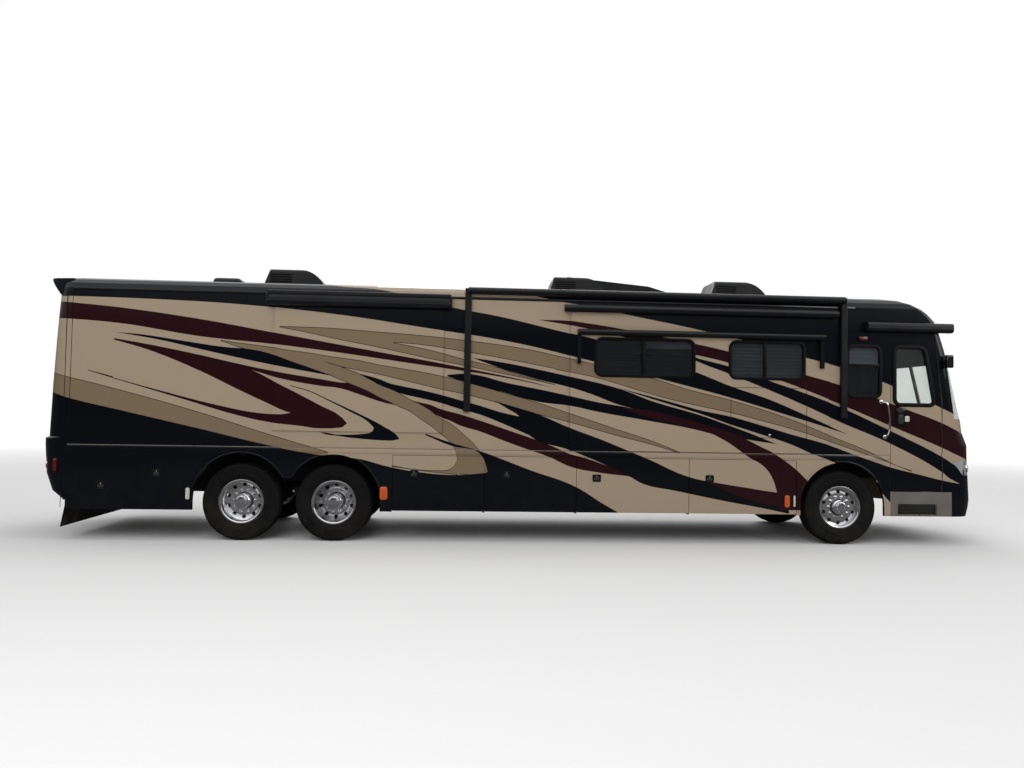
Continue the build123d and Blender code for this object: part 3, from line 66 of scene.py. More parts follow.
# Stripes in painting order: name, colour, lined, upper edge, lower edge, each edge as (X, Z) points
STRIPES = (
    ("roof_sweep", "navy", False,
     ((-6.6, 3.9), (-2.9, 3.6), (-2.74, 3.47), (-2.04, 3.4), (-1.5, 3.28), (-1.06, 3.18), (-0.41, 3.07),
      (0.42, 2.89), (0.94, 2.78), (1.53, 2.61), (2.29, 2.37), (2.8, 2.18), (3.36, 2.0), (3.83, 1.81),
      (4.48, 1.54)),
     ((-6.6, 3.21), (-4.94, 3.19), (-3.89, 3.15), (-2.57, 3.04), (-1.49, 2.9), (-0.27, 2.73), (0.89, 2.48),
      (1.73, 2.28), (2.8, 2.02), (3.65, 1.78), (4.48, 1.54))),
    ("front_top", "navy", False,
     ((0.1, 4.0), (6.6, 4.0)),
     ((0.1, 3.36), (0.47, 3.29), (0.97, 3.22), (1.33, 3.14), (2.09, 3.0), (2.93, 2.83), (3.85, 2.6),
      (4.35, 2.48), (5.01, 2.27), (5.86, 1.92), (6.08, 1.82), (6.6, 1.6))),
    ("rear_maroon", "maroon", False,
     ((-6.6, 3.17), (-6.18, 3.13), (-5.45, 3.07), (-4.41, 2.94), (-3.49, 2.79), (-2.16, 2.57), (-0.89, 2.36),
      (0.02, 2.19), (0.32, 2.12)),
     ((-6.6, 2.93), (-6.2, 2.91), (-5.44, 2.86), (-4.4, 2.71), (-3.48, 2.63), (-2.82, 2.56), (-1.48, 2.39),
      (-0.4, 2.25), (0.32, 2.12))),
    ("long_khaki_rear", "khaki", True,
     ((-3.36, 2.86), (-2.7, 2.85), (-2.16, 2.82), (-1.49, 2.78), (-0.89, 2.73), (0.01, 2.62), (0.36, 2.55)),
     ((-3.36, 2.86), (-2.96, 2.79), (-2.56, 2.71), (-2.16, 2.64), (-1.75, 2.56), (-1.35, 2.48), (-0.89, 2.4),
      (-0.53, 2.33), (0.01, 2.23), (0.36, 2.16))),
    ("long_khaki_front", "khaki", True,
     ((0.36, 2.55), (0.89, 2.44), (1.67, 2.27), (2.23, 2.11), (2.8, 1.98), (3.65, 1.73), (4.22, 1.51),
      (4.8, 1.29), (5.11, 1.14), (5.4, 1.04)),
     ((0.36, 2.37), (0.91, 2.27), (1.53, 2.1), (1.95, 1.99), (2.38, 1.9), (2.8, 1.82), (3.22, 1.72),
      (3.84, 1.56), (4.22, 1.44), (4.65, 1.3), (4.96, 1.2), (5.4, 1.04))),
    ("long_wedge", "tan", True,
     ((-1.84, 2.68), (-1.49, 2.66), (-0.89, 2.58), (-0.26, 2.48), (0.36, 2.37)),
     ((-1.84, 2.68), (-1.49, 2.62), (-1.21, 2.56), (-0.89, 2.48), (-0.4, 2.37), (-0.12, 2.28), (0.36, 2.16))),
    ("middle_navy", "navy", False,
     ((-0.78, 2.5), (-0.4, 2.45), (0.01, 2.38), (0.56, 2.27), (1.26, 2.11), (1.68, 1.96), (2.38, 1.77),
      (2.8, 1.63), (3.17, 1.5), (3.45, 1.39)),
     ((-0.78, 2.5), (-0.4, 2.37), (0.01, 2.25), (0.57, 2.12), (0.84, 2.04), (1.26, 1.89), (1.43, 1.85),
      (2.0, 1.68), (2.97, 1.46), (3.45, 1.39))),
    ("low_khaki", "khaki", True,
     ((-4.13, 2.66), (-4.0, 2.64), (-3.74, 2.61), (-3.48, 2.58), (-3.21, 2.54), (-2.95, 2.51), (-2.68, 2.47),
      (-2.28, 2.42), (-2.02, 2.37), (-1.75, 2.33), (-1.48, 2.29), (-1.21, 2.24), (-1.1, 2.22), (-0.77, 2.14),
      (-0.39, 2.04), (0.02, 1.93), (0.57, 1.76), (1.26, 1.54), (1.68, 1.41), (2.1, 1.25)),
     ((-4.13, 2.66), (-3.81, 2.56), (-3.61, 2.53), (-3.34, 2.45), (-3.08, 2.36), (-2.88, 2.29), (-2.73, 2.25),
      (-2.71, 2.39), (-2.55, 2.35), (-2.28, 2.3), (-2.01, 2.25), (-1.74, 2.19), (-1.47, 2.13), (-1.2, 2.07),
      (-0.93, 2.02), (-0.46, 1.91), (0.1, 1.76), (0.57, 1.65), (1.26, 1.47), (1.68, 1.37), (2.1, 1.25))),
    ("round_navy", "navy", False,
     ((-1.11, 2.26), (-0.88, 2.28), (-0.26, 2.16), (0.29, 2.06), (0.98, 1.92), (1.43, 1.85), (2.0, 1.72),
      (2.97, 1.48)),
     ((-1.11, 2.24), (-0.77, 2.14), (-0.39, 2.05), (0.13, 1.92), (0.57, 1.87), (0.98, 1.79), (1.68, 1.68),
      (2.32, 1.57), (2.97, 1.4))),
    ("insert_maroon", "maroon", False,
     ((1.3, 1.86), (1.68, 1.82), (2.38, 1.66), (2.97, 1.5)),
     ((1.3, 1.85), (1.68, 1.72), (2.32, 1.6), (2.97, 1.42))),
    ("front_navy_tail", "navy", False,
     ((1.21, 2.13), (1.67, 2.02), (2.1, 1.91), (2.38, 1.84), (2.8, 1.76), (3.22, 1.65), (3.65, 1.53),
      (4.19, 1.39), (4.65, 1.23), (4.9, 1.15)),
     ((1.21, 2.13), (1.68, 1.99), (2.1, 1.87), (2.38, 1.79), (2.8, 1.65), (3.17, 1.54), (3.65, 1.39),
      (3.94, 1.27), (4.25, 1.16), (4.6, 1.0), (4.9, 0.9))),
    ("rear_navy", "navy", False,
     ((-5.49, 2.74), (-5.18, 2.72), (-4.66, 2.65), (-4.14, 2.58), (-3.61, 2.53), (-3.13, 2.38),
      (-2.68, 2.23)),
     ((-5.49, 2.74), (-4.92, 2.65), (-4.4, 2.54), (-3.87, 2.43), (-3.34, 2.33), (-2.68, 2.22))),
    ("hook_navy", "navy", False,
     ((-3.2, 2.08), (-2.94, 2.01), (-2.67, 1.89), (-2.4, 1.77), (-2.27, 1.71), (-1.95, 1.55), (-1.76, 1.42),
      (-1.74, 1.39)),
     ((-3.2, 2.07), (-2.9, 1.6), (-2.79, 1.46), (-2.53, 1.41), (-2.26, 1.38), (-1.86, 1.36), (-1.74, 1.38))),
    ("hook_navy_eye", "tan", False,
     ((-3.2, 2.07), (-2.94, 1.998), (-2.67, 1.873), (-2.4, 1.74), (-2.16, 1.61), (-2.08, 1.53)),
     ((-3.2, 1.45), (-2.79, 1.46), (-2.53, 1.43), (-2.26, 1.44), (-2.1, 1.48), (-2.08, 1.52))),
    ("second_maroon", "maroon", False,
     ((-5.51, 2.66), (-5.02, 2.58), (-4.39, 2.46), (-3.87, 2.35), (-3.34, 2.25), (-2.81, 2.17), (-2.54, 2.13),
      (-2.41, 2.12), (-2.28, 2.08), (-2.14, 2.02), (-2.01, 1.96), (-1.87, 1.89), (-1.74, 1.83)),
     ((-5.51, 2.66), (-5.02, 2.53), (-4.39, 2.38), (-3.79, 2.29), (-3.34, 2.17), (-2.81, 2.08), (-2.54, 2.05),
      (-2.27, 1.97), (-2.09, 1.91), (-1.91, 1.86), (-1.74, 1.83))),
    ("hook_maroon", "maroon", False,
     ((-5.51, 2.66), (-5.02, 2.55), (-4.39, 2.4), (-3.79, 2.3), (-3.34, 2.09), (-2.8, 1.82), (-2.53, 1.68),
      (-2.44, 1.59)),
     ((-5.51, 2.13), (-4.63, 1.88), (-3.85, 1.66), (-3.45, 1.58), (-3.06, 1.54), (-2.79, 1.51), (-2.5, 1.53),
      (-2.44, 1.58))),
    ("hook_maroon_tail", "line", False,
     ((-5.83, 2.235), (-5.3, 2.1)),
     ((-5.83, 2.225), (-5.3, 2.07))),
    ("hook_maroon_eye", "tan", False,
     ((-5.51, 2.64), (-5.02, 2.5), (-4.39, 2.25), (-3.86, 2.0), (-3.46, 1.82), (-3.25, 1.73), (-3.19, 1.715)),
     ((-5.51, 2.14), (-4.9, 1.98), (-4.11, 1.79), (-3.59, 1.7), (-3.33, 1.69), (-3.19, 1.71))),
    ("falling_khaki", "khaki", True,
     ((-2.73, 2.4), (-2.71, 2.39), (-2.55, 2.34), (-2.41, 2.29), (-2.28, 2.24), (-2.14, 2.17), (-2.01, 2.1),
      (-1.87, 2.05), (-1.74, 1.99), (-1.6, 1.91), (-1.47, 1.85), (-1.33, 1.77), (-1.2, 1.67), (-1.06, 1.6),
      (-0.88, 1.46), (-0.66, 1.24), (-0.56, 1.08), (-0.49, 0.98)),
     ((-2.73, 2.25), (-2.54, 2.17), (-2.41, 2.12), (-2.28, 2.07), (-2.14, 2.01), (-2.01, 1.94), (-1.87, 1.88),
      (-1.74, 1.82), (-1.6, 1.76), (-1.47, 1.67), (-1.33, 1.58), (-1.19, 1.47), (-1.08, 1.38), (-1.0, 1.28),
      (-0.95, 1.1), (-0.93, 0.93), (-0.66, 0.92), (-0.49, 0.98))),
    ("khaki_hook_foot", "khaki", True,
     ((-1.83, 1.02), (-1.5, 0.97), (-1.18, 0.96), (-1.0, 1.02), (-0.94, 1.14)),
     ((-1.83, 1.02), (-1.61, 0.99), (-1.28, 0.95), (-0.94, 0.92))),
    ("rear_navy_tail", "navy", False,
     ((-2.39, 2.28), (-2.28, 2.25), (-2.15, 2.22), (-2.01, 2.18), (-1.88, 2.13), (-1.74, 2.1), (-1.47, 2.05),
      (-1.2, 1.99), (-0.93, 1.92), (-0.66, 1.85), (-0.39, 1.77), (-0.11, 1.71), (0.02, 1.68)),
     ((-2.39, 2.28), (-2.28, 2.24), (-2.14, 2.17), (-2.01, 2.11), (-1.87, 2.05), (-1.74, 2.0), (-1.47, 1.94),
      (-1.2, 1.88), (-0.93, 1.8), (-0.66, 1.73), (-0.39, 1.63), (0.02, 1.46))),
    ("second_maroon_tail", "maroon", False,
     ((-1.56, 1.9), (-1.47, 1.88), (-1.33, 1.85), (-1.2, 1.8), (-0.93, 1.73), (-0.66, 1.65), (-0.38, 1.56),
      (0.3, 1.33), (0.59, 1.21), (0.79, 1.16), (1.4, 0.95)),
     ((-1.56, 1.9), (-1.47, 1.86), (-1.33, 1.77), (-1.2, 1.69), (-1.06, 1.64), (-0.93, 1.58), (-0.65, 1.5),
      (-0.38, 1.4), (-0.04, 1.28), (0.29, 1.17), (0.59, 1.04), (0.95, 0.97), (1.4, 0.92))),
    ("low_navy", "navy", False,
     ((-0.47, 1.92), (-0.18, 1.84), (0.1, 1.76), (0.57, 1.57), (1.02, 1.41), (1.35, 1.28), (1.7, 1.14),
      (2.2, 0.93), (2.64, 0.84), (3.12, 0.77), (3.46, 0.71), (3.64, 0.7)),
     ((-0.47, 1.92), (-0.31, 1.83), (-0.11, 1.7), (0.02, 1.46), (0.56, 1.27), (0.95, 1.12), (1.4, 0.92),
      (1.59, 0.82), (2.04, 0.73), (2.71, 0.6), (3.23, 0.51), (3.64, 0.43))),
    ("front_maroon_fall", "maroon", False,
     ((2.0, 1.72), (2.97, 1.47), (3.23, 1.35), (3.4, 1.27), (3.74, 1.04), (3.9, 0.89)),
     ((2.0, 1.63), (2.36, 1.58), (2.7, 1.44), (3.04, 1.22), (3.33, 1.03), (3.42, 0.88), (3.47, 0.72),
      (3.52, 0.48), (3.9, 0.48))),
    ("skirt_maroon", "maroon", False,
     ((2.51, 0.86), (3.05, 0.78), (3.48, 0.72), (3.75, 0.7)),
     ((2.51, 0.84), (2.92, 0.67), (3.36, 0.55), (3.75, 0.48))),
    ("rear_khaki", "khaki", True,
     ((-6.6, 2.25), (-6.25, 2.17), (-5.41, 1.97), (-4.37, 1.69), (-3.45, 1.41), (-2.68, 1.19)),
     ((-6.6, 1.6), (-2.68, 1.0))),
    ("skirt_navy_rear", "navy", False,
     ((-6.6, 2.0), (-6.26, 1.92), (-6.1, 1.87), (-5.4, 1.71), (-4.36, 1.48), (-3.58, 1.3), (-2.97, 1.18),
      (-2.65, 1.14), (-2.28, 1.11), (-1.87, 1.01), (-1.45, 0.94), (-0.98, 0.91), (-0.49, 0.95)),
     ((-6.6, 0.0), (-0.49, 0.0))),
    ("skirt_navy_front", "navy", False,
     ((-1.39, 1.46), (-1.03, 1.34), (-0.66, 1.24), (-0.43, 1.16), (0.03, 0.99), (0.66, 0.77), (1.03, 0.55),
      (1.28, 0.41)),
     ((-1.39, 1.44), (-1.03, 1.3), (-0.66, 1.21), (-0.55, 1.0), (-0.49, 0.3), (1.28, 0.3))),
    ("front_maroon", "maroon", False,
     ((0.11, 3.04), (0.41, 3.04), (0.83, 3.0), (1.25, 2.94), (2.27, 2.76), (2.76, 2.66), (3.85, 2.36),
      (4.35, 2.23), (5.04, 2.0), (5.3, 1.91), (5.84, 1.72), (6.08, 1.61), (6.6, 1.42)),
     ((0.11, 3.04), (0.69, 2.95), (2.27, 2.61), (2.78, 2.5), (3.48, 2.28), (3.83, 2.16), (4.36, 1.96),
      (5.09, 1.67), (5.87, 1.36), (6.07, 1.27), (6.6, 1.08))),
    ("front_navy", "navy", False,
     ((2.09, 2.64), (2.29, 2.57), (2.78, 2.45), (3.36, 2.26), (3.83, 2.11), (4.36, 1.92), (5.09, 1.6),
      (5.85, 1.24), (6.03, 1.13), (6.6, 0.88)),
     ((2.09, 2.64), (2.29, 2.53), (2.78, 2.35), (3.36, 2.13), (3.83, 1.94), (4.39, 1.7), (5.09, 1.42),
      (5.84, 1.03), (5.96, 0.94), (6.6, 0.7))),
    ("nose_navy", "navy", False,
     ((4.9, 1.15), (5.09, 1.09), (5.52, 0.99), (5.87, 0.91), (6.6, 0.8)),
     ((4.9, 0.0), (6.6, 0.0))),
    ("arch_flap", "tan", False,
     ((4.9, 0.8), (5.09, 0.6)),
     ((4.9, 0.0), (5.09, 0.0))),
)
STRIPE_TOP = 4.0

SIDES = ("left", "right")
AXLES = ("front", "drive", "tag")
PAINTED = (
    "side_wall_left", "side_wall_right", "front_cap", "rear_cap", "roof", "front_bumper", "rear_bumper",
    "lower_panels_left", "lower_panels_right", "entry_door", "slide_left", "slide_right_front",
    "slide_right_rear",
) + tuple(f"storage_door_{side}_{index}" for side in SIDES for index in range(1, 5))

# Windows: piece, body, Y of the wall face, corners as (X, Z), corner radius, X of dividers
WINDOWS = (
    ("window_trim_room_right", "room_right_front", -SLIDE_Y,
     ((0.901, 2.285), (2.288, 2.285), (2.288, 2.808), (0.901, 2.808)), 0.1, (1.57,)),
    ("window_trim_room_right", "room_right_front", -SLIDE_Y,
     ((2.778, 2.285), (3.847, 2.285), (3.847, 2.808), (2.778, 2.808)), 0.1, (3.28,)),
    ("window_trim_room_left", "room_left", SLIDE_Y,
     ((-1.5, 2.285), (-0.3, 2.285), (-0.3, 2.808), (-1.5, 2.808)), 0.1, (-0.9,)),
    ("window_trim_room_left", "room_left", SLIDE_Y,
     ((1.5, 2.285), (2.9, 2.285), (2.9, 2.808), (1.5, 2.808)), 0.1, (2.2,)),
    ("window_trim_coach", "coach", -WALL_Y,
     ((4.464, 2.057), (4.956, 2.057), (4.956, 2.791), (4.464, 2.791)), 0.1, ()),
    ("window_trim_coach", "coach", WALL_Y,
     ((4.7, 2.0), (5.62, 2.0), (5.62, 2.791), (4.7, 2.791)), 0.1, (5.16,)),
    ("window_trim_coach", "coach", WALL_Y,
     ((-5.3, 2.285), (-4.3, 2.285), (-4.3, 2.808), (-5.3, 2.808)), 0.1, (-4.8,)),
    ("window_trim_entry", "entry", -WALL_Y,
     ((5.14, 1.955), (5.748, 1.955), (5.598, 2.79), (5.14, 2.79)), 0.09, ()),
)

# Pleated shades behind the glass: piece, body, cloth, Y, X from, X to, Z from, Z to
SHADES = (
    ("shade_room_rear", "room_right_front", "shade_cloth", -1.272, 1.62, 2.25, 2.68, 2.79),
    ("shade_room_front", "room_right_front", "shade_cloth", -1.272, 2.80, 3.83, 2.31, 2.79),
    # The tall window's shade takes a lighter copy of the cloth, as painted light where little light reaches
    ("shade_tall_window", "coach", "pale_shade_cloth", -1.25, 4.48, 4.94, 2.53, 2.775),
    # The left shades are near-black cloth: painted shade that keeps the view through the room windows dark
    ("shade_left_rear", "room_left", "curtain_cloth", 1.272, -1.48, -0.32, 2.31, 2.79),
    ("shade_left_front", "room_left", "curtain_cloth", 1.272, 1.52, 2.88, 2.31, 2.79),
    ("shade_left_back", "coach", "curtain_cloth", 1.25, -5.28, -4.32, 2.31, 2.79),
)

# Axles: name, X, disc face and hub end out from the wheel centre, tyres at each end
AXLE_WHEELS = (
    ("front", FRONT_AXLE_X, 0.070, 0.150, 1),
    ("drive", DRIVE_AXLE_X, -0.154, 0.105, 2),
    ("tag", TAG_AXLE_X, -0.052, 0.105, 1),
)
# Wheels: name, X, side sense, disc face, hub end, tyre centres out from the middle of the coach
WHEELS = tuple(
    (f"{axle}_{side}", x, sense, disc, hub, tuple(WHEEL_Y - TWIN_STEP * step for step in range(twins)))
    for axle, x, disc, hub, twins in AXLE_WHEELS
    for side, sense in (("left", 1), ("right", -1))
)

# Cab seats: side, X, Y
SEATS = (("left", 5.0, 0.56), ("right", 4.65, -0.64))
SEAT_BASE_Z = 1.24
SEAT_Z = 1.54

# Half of a tyre's section, out from the bead: distance from the middle plane, radius
TYRE_SECTION = (
    (0.112, 0.300), (0.121, 0.306), (0.127, 0.320), (0.130, 0.332), (0.1335, 0.336), (0.1365, 0.365),
    (0.1392, 0.398), (0.1375, 0.402), (0.1375, 0.408), (0.1395, 0.412), (0.1375, 0.440), (0.1345, 0.452),
    (0.1362, 0.456), (0.1330, 0.470), (0.1270, 0.490), (0.1210, 0.501), (0.1120, 0.5070), (0.0900, 0.5105),
    (0.0880, 0.4990), (0.0790, 0.4990), (0.0770, 0.5122), (0.0450, 0.5140), (0.0430, 0.5000),
    (0.0340, 0.5000), (0.0320, 0.5147), (0.0060, 0.5150), (0.0045, 0.5010),
)

# Latches on both sides: body, X, Z
LATCHES = (
    ("coach", -5.62, 0.72), ("coach", -4.91, 0.89),
    ("storage_{side}_1", -1.53, 0.92), ("storage_{side}_2", -0.28, 0.92),
    ("storage_{side}_3", 0.95, 0.89), ("storage_{side}_4", 2.52, 0.90),
)

# Marker lamps on the lower side: piece, material, X from, X to, Z from, Z to
MARKERS = (
    ("marker_amber", "lens_amber", -1.99, -1.87, 0.56, 0.75),
    ("marker_amber", "lens_amber", 3.565, 3.655, 0.51, 0.69),
    ("marker_red", "lens_red", -6.235, -6.17, 0.89, 1.07),
    ("marker_white", "lens_milk", -4.53, -4.46, 0.54, 0.71),
    ("marker_white", "lens_milk", 3.69, 3.735, 0.52, 0.69),
)

# Access hatches whose seams show on both sides: corners as (X, Z)
HATCHES = (
    ((-5.90, 0.45), (-5.15, 0.45), (-5.15, 1.14), (-5.90, 1.14)),
    ((-5.13, 0.45), (-4.57, 0.45), (-4.57, 1.14), (-5.13, 1.14)),
)

# Trim and paint: heights over the wall, arch radii and edges of painted areas, in metres
SEAM_PROUD = 0.0012
SEAM_SUNK = 0.002
ARCH_PROUD = 0.008
ARCH_SUNK = 0.02
FRONT_ARCH_R = 0.60
REAR_ARCH_R = 0.62
BELT_X = (-6.06, 5.075)
ROOF_PAINT_X = 4.58
ROOF_PAINT_Y = 1.13
ROOF_PAINT_Z = 3.43
FITTING_Y = 1.3205
WELL_TOP_Z = 1.18
# Middle and half range of the sides' openings, whose edge faces get painted shade in the line colour
REVEAL_X = (-0.45, 5.4)
REVEAL_Z = (2.27, 1.02)
# Middle and half range of the wheel wells along the coach, whose inner faces get painted shade
FRONT_WELL_X = (FRONT_AXLE_X, 0.68)
REAR_WELL_X = ((DRIVE_AXLE_X + TAG_AXLE_X) / 2, 1.3)
# Roughness that full dust adds
DUST_ROUGH = 0.4


def srgb(red, green, blue):
    """Display colour, 0 to 255, as a property default."""
    return (red / 255, green / 255, blue / 255)


def linear(colour):
    """Colour of a property as the four values that a shader socket takes."""
    made = Color(tuple(colour)).from_srgb_to_scene_linear()
    return (made.r, made.g, made.b, 1.0)


# Painted shade: near-black for the inner side of the rims, under the coach
RIM_PAINTED_SHADE = srgb(9, 9, 10)
# Painted shade for the inner faces round the wheel wells
WELL_PAINTED_SHADE = srgb(12, 12, 13)


def colour_prop(name, description, default):
    """Colour that a user may change."""
    return bpy.props.FloatVectorProperty(name=name, description=description, default=default, size=3,
                                         min=0.0, max=1.0, subtype="COLOR_GAMMA")


def size_prop(name, description, default):
    """Length that a user may change."""
    return bpy.props.FloatProperty(name=name, description=description, default=default, min=0.0,
                                   subtype="DISTANCE", unit="LENGTH")


class MotorhomeColours(bpy.types.PropertyGroup):
    """Colours of the coach's paint and trim."""
    tan: colour_prop("Tan", "Ground colour of the sides", srgb(147, 132, 113))
    khaki: colour_prop("Khaki", "Lined stripes", srgb(112, 97, 77))
    navy: colour_prop("Navy", "Darkest stripes and the skirt", srgb(3, 5, 11))
    maroon: colour_prop("Maroon", "Red stripes", srgb(33, 7, 12))
    line: colour_prop("Line", "Fine line round the khaki stripes", srgb(30, 24, 20))
    # The inner faces' colour is darker than a real interior, as painted shade inside the coach
    lining_and_shade: colour_prop("Lining", "Inner faces of the walls", srgb(84, 77, 66))
    roof_top: colour_prop("Roof top", "Top of the roof", srgb(176, 172, 162))
    dust: colour_prop("Dust", "Road dust low on the body", srgb(96, 88, 77))
    glass: colour_prop("Glass", "Tint of the cab glass", srgb(236, 240, 238))
    dark_glass: colour_prop("Dark glass", "Tint of the room windows", srgb(146, 152, 156))
    rubber: colour_prop("Rubber", "Tyres and seals", srgb(8, 8, 9))
    charcoal: colour_prop("Charcoal", "Awnings and roof units", srgb(15, 16, 18))
    amber: colour_prop("Amber", "Marker lamps", srgb(188, 82, 38))
    red: colour_prop("Red", "Tail lamps", srgb(92, 8, 9))
    leather: colour_prop("Leather", "Cab seats", srgb(120, 100, 78))


class MotorhomeSizes(bpy.types.PropertyGroup):
    """Sizes of the added trim."""
    frame_width: size_prop("Frame width", "Black frame round a window", 0.042)
    door_frame_width: size_prop("Door frame width", "Black frame round the entry door's window", 0.055)
    frame_proud: size_prop("Frame proud", "How far a window frame stands out", 0.012)
    line_width: size_prop("Line width", "Fine line round a khaki stripe", 0.009)
    belt_low: size_prop("Belt low", "Lower edge of the belt moulding", 1.185)
    belt_high: size_prop("Belt high", "Upper edge of the belt moulding", 1.25)
    arch_trim: size_prop("Arch trim", "Width of the trim round a wheel arch", 0.022)
    nut_circle: size_prop("Nut circle", "Radius of the ring of wheel nuts", 0.143)
    seam: size_prop("Seam", "Width of a hatch seam", 0.007)


class MotorhomeLooks(bpy.types.PropertyGroup):
    """All settings of the motorhome's looks."""
    colours: bpy.props.PointerProperty(type=MotorhomeColours, name="Colours",
                                       description="Paint and trim colours")
    sizes: bpy.props.PointerProperty(type=MotorhomeSizes, name="Sizes",
                                     description="Sizes of the added trim")


# Shader helpers

def feed(tree, node, inputs):
    """Link sockets to a node's inputs, or set plain values on them."""
    for key, value in inputs.items():
        if isinstance(value, bpy.types.NodeSocket):
            tree.links.new(value, node.inputs[key])
        else:
            node.inputs[key].default_value = value


def add_node(tree, kind, inputs=None, **settings):
    """New shader node with its settings, values and incoming links."""
    made = tree.nodes.new(kind)
    for key, value in settings.items():
        setattr(made, key, value)
    feed(tree, made, inputs or {})
    return made


def calc(tree, operation, first, second=0.0, third=0.0):
    """Output of one math node."""
    return add_node(tree, "ShaderNodeMath", {0: first, 1: second, 2: third}, operation=operation).outputs[0]


def blend_colour(tree, factor, first, second):
    """Output of a colour mix."""
    return add_node(tree, "ShaderNodeMix", {0: factor, 6: first, 7: second}, data_type="RGBA").outputs[2]


def ramp(tree, value, low, high, to_low=0.0, to_high=1.0):
    """Output of a clamped range."""
    return add_node(tree, "ShaderNodeMapRange", {0: value, 1: low, 2: high, 3: to_low, 4: to_high}).outputs[0]


def scaled(tree, colour, factor):
    """Colour times a factor."""
    return add_node(tree, "ShaderNodeVectorMath", {0: colour, "Scale": factor}, operation="SCALE").outputs[0]


def relief(tree, height, strength, distance):
    """Normal that a bump gives."""
    inputs = {"Height": height, "Strength": strength, "Distance": distance}
    return add_node(tree, "ShaderNodeBump", inputs).outputs[0]


def parts_of(tree, vector):
    """X, Y and Z of a vector."""
    return add_node(tree, "ShaderNodeSeparateXYZ", {0: vector}).outputs


def new_group(name, inputs, outputs):
    """Node group with named sockets; gives the tree, its input node and its output node."""
    tree = bpy.data.node_groups.new(name, "ShaderNodeTree")
    for direction, sockets in (("INPUT", inputs), ("OUTPUT", outputs)):
        for socket, socket_type in sockets:
            tree.interface.new_socket(name=socket, in_out=direction, socket_type="NodeSocket" + socket_type)
    return tree, tree.nodes.new("NodeGroupInput"), tree.nodes.new("NodeGroupOutput")


def stripe_band_group():
    """Masks of one stripe, and of the same stripe with its fine line round it."""
    tree, given, out = new_group(
        "Stripe band",
        (("Height", "Float"), ("Upper", "Float"), ("Lower", "Float"), ("Along", "Float"), ("Line", "Float")),
        (("Mask", "Float"), ("Line mask", "Float")))
    height, upper, lower, along, line = given.outputs[:5]
    within = calc(tree, "COMPARE", along, 0.5, 0.5)
    for index, grow in enumerate((None, line)):
        top = upper if grow is None else calc(tree, "ADD", upper, grow)
        low = lower if grow is None else calc(tree, "SUBTRACT", lower, grow)
        between = calc(tree, "MULTIPLY", calc(tree, "LESS_THAN", height, top),
                       calc(tree, "GREATER_THAN", height, low))
        tree.links.new(calc(tree, "MULTIPLY", between, within), out.inputs[index])
    return tree


def road_dust_group():
    """Mask of road dust that thins out with height."""
    tree, given, out = new_group("Road dust", (("Vector", "Vector"), ("Top", "Float"), ("Strength", "Float")),
                                 (("Mask", "Float"),))
    place, top, strength = given.outputs[:3]
    height = parts_of(tree, place)[2]
    low = calc(tree, "SUBTRACT", 1.0, calc(tree, "DIVIDE", height, top))
    cloud = add_node(tree, "ShaderNodeTexNoise",
                     {"Vector": place, "Scale": 6.0, "Detail": 6.0, "Roughness": 0.65})
    patch = ramp(tree, cloud.outputs[0], 0.35, 0.7)
    amount = calc(tree, "MULTIPLY", ramp(tree, low, 0.0, 1.0), calc(tree, "MULTIPLY", patch, strength))
    tree.links.new(amount, out.inputs[0])
    return tree


def surface_grain_group():
    """Fine grain for bump and slow blotches for colour and gloss."""
    tree, given, out = new_group("Surface grain", (("Vector", "Vector"), ("Grain scale", "Float"),
                                                   ("Blotch scale", "Float")),
                                 (("Grain", "Float"), ("Blotch", "Float")))
    place, fine, slow = given.outputs[:3]
    for index, (scale, detail) in enumerate(((fine, 3.0), (slow, 5.0))):
        cloud = add_node(tree, "ShaderNodeTexNoise", {"Vector": place, "Scale": scale, "Detail": detail})
        tree.links.new(cloud.outputs[0], out.inputs[index])
    return tree


GROUP_MAKERS = {
    "Stripe band": stripe_band_group,
    "Road dust": road_dust_group,
    "Surface grain": surface_grain_group,
}


def use_group(tree, name, inputs):
    """Place a shared group in a material; the group is built on its first use."""
    group = bpy.data.node_groups.get(name) or GROUP_MAKERS[name]()
    return add_node(tree, "ShaderNodeGroup", inputs, node_tree=group)


def new_material(name):
    """Empty material with a Principled shader; gives the tree, the shader and the Object coordinates."""
    material = bpy.data.materials.new(name)
    material.use_nodes = True
    tree = material.node_tree
    tree.nodes.clear()
    shader = tree.nodes.new("ShaderNodeBsdfPrincipled")
    out = tree.nodes.new("ShaderNodeOutputMaterial")
    tree.links.new(shader.outputs[0], out.inputs[0])
    place = tree.nodes.new("ShaderNodeTexCoord")
    return material, tree, shader, place


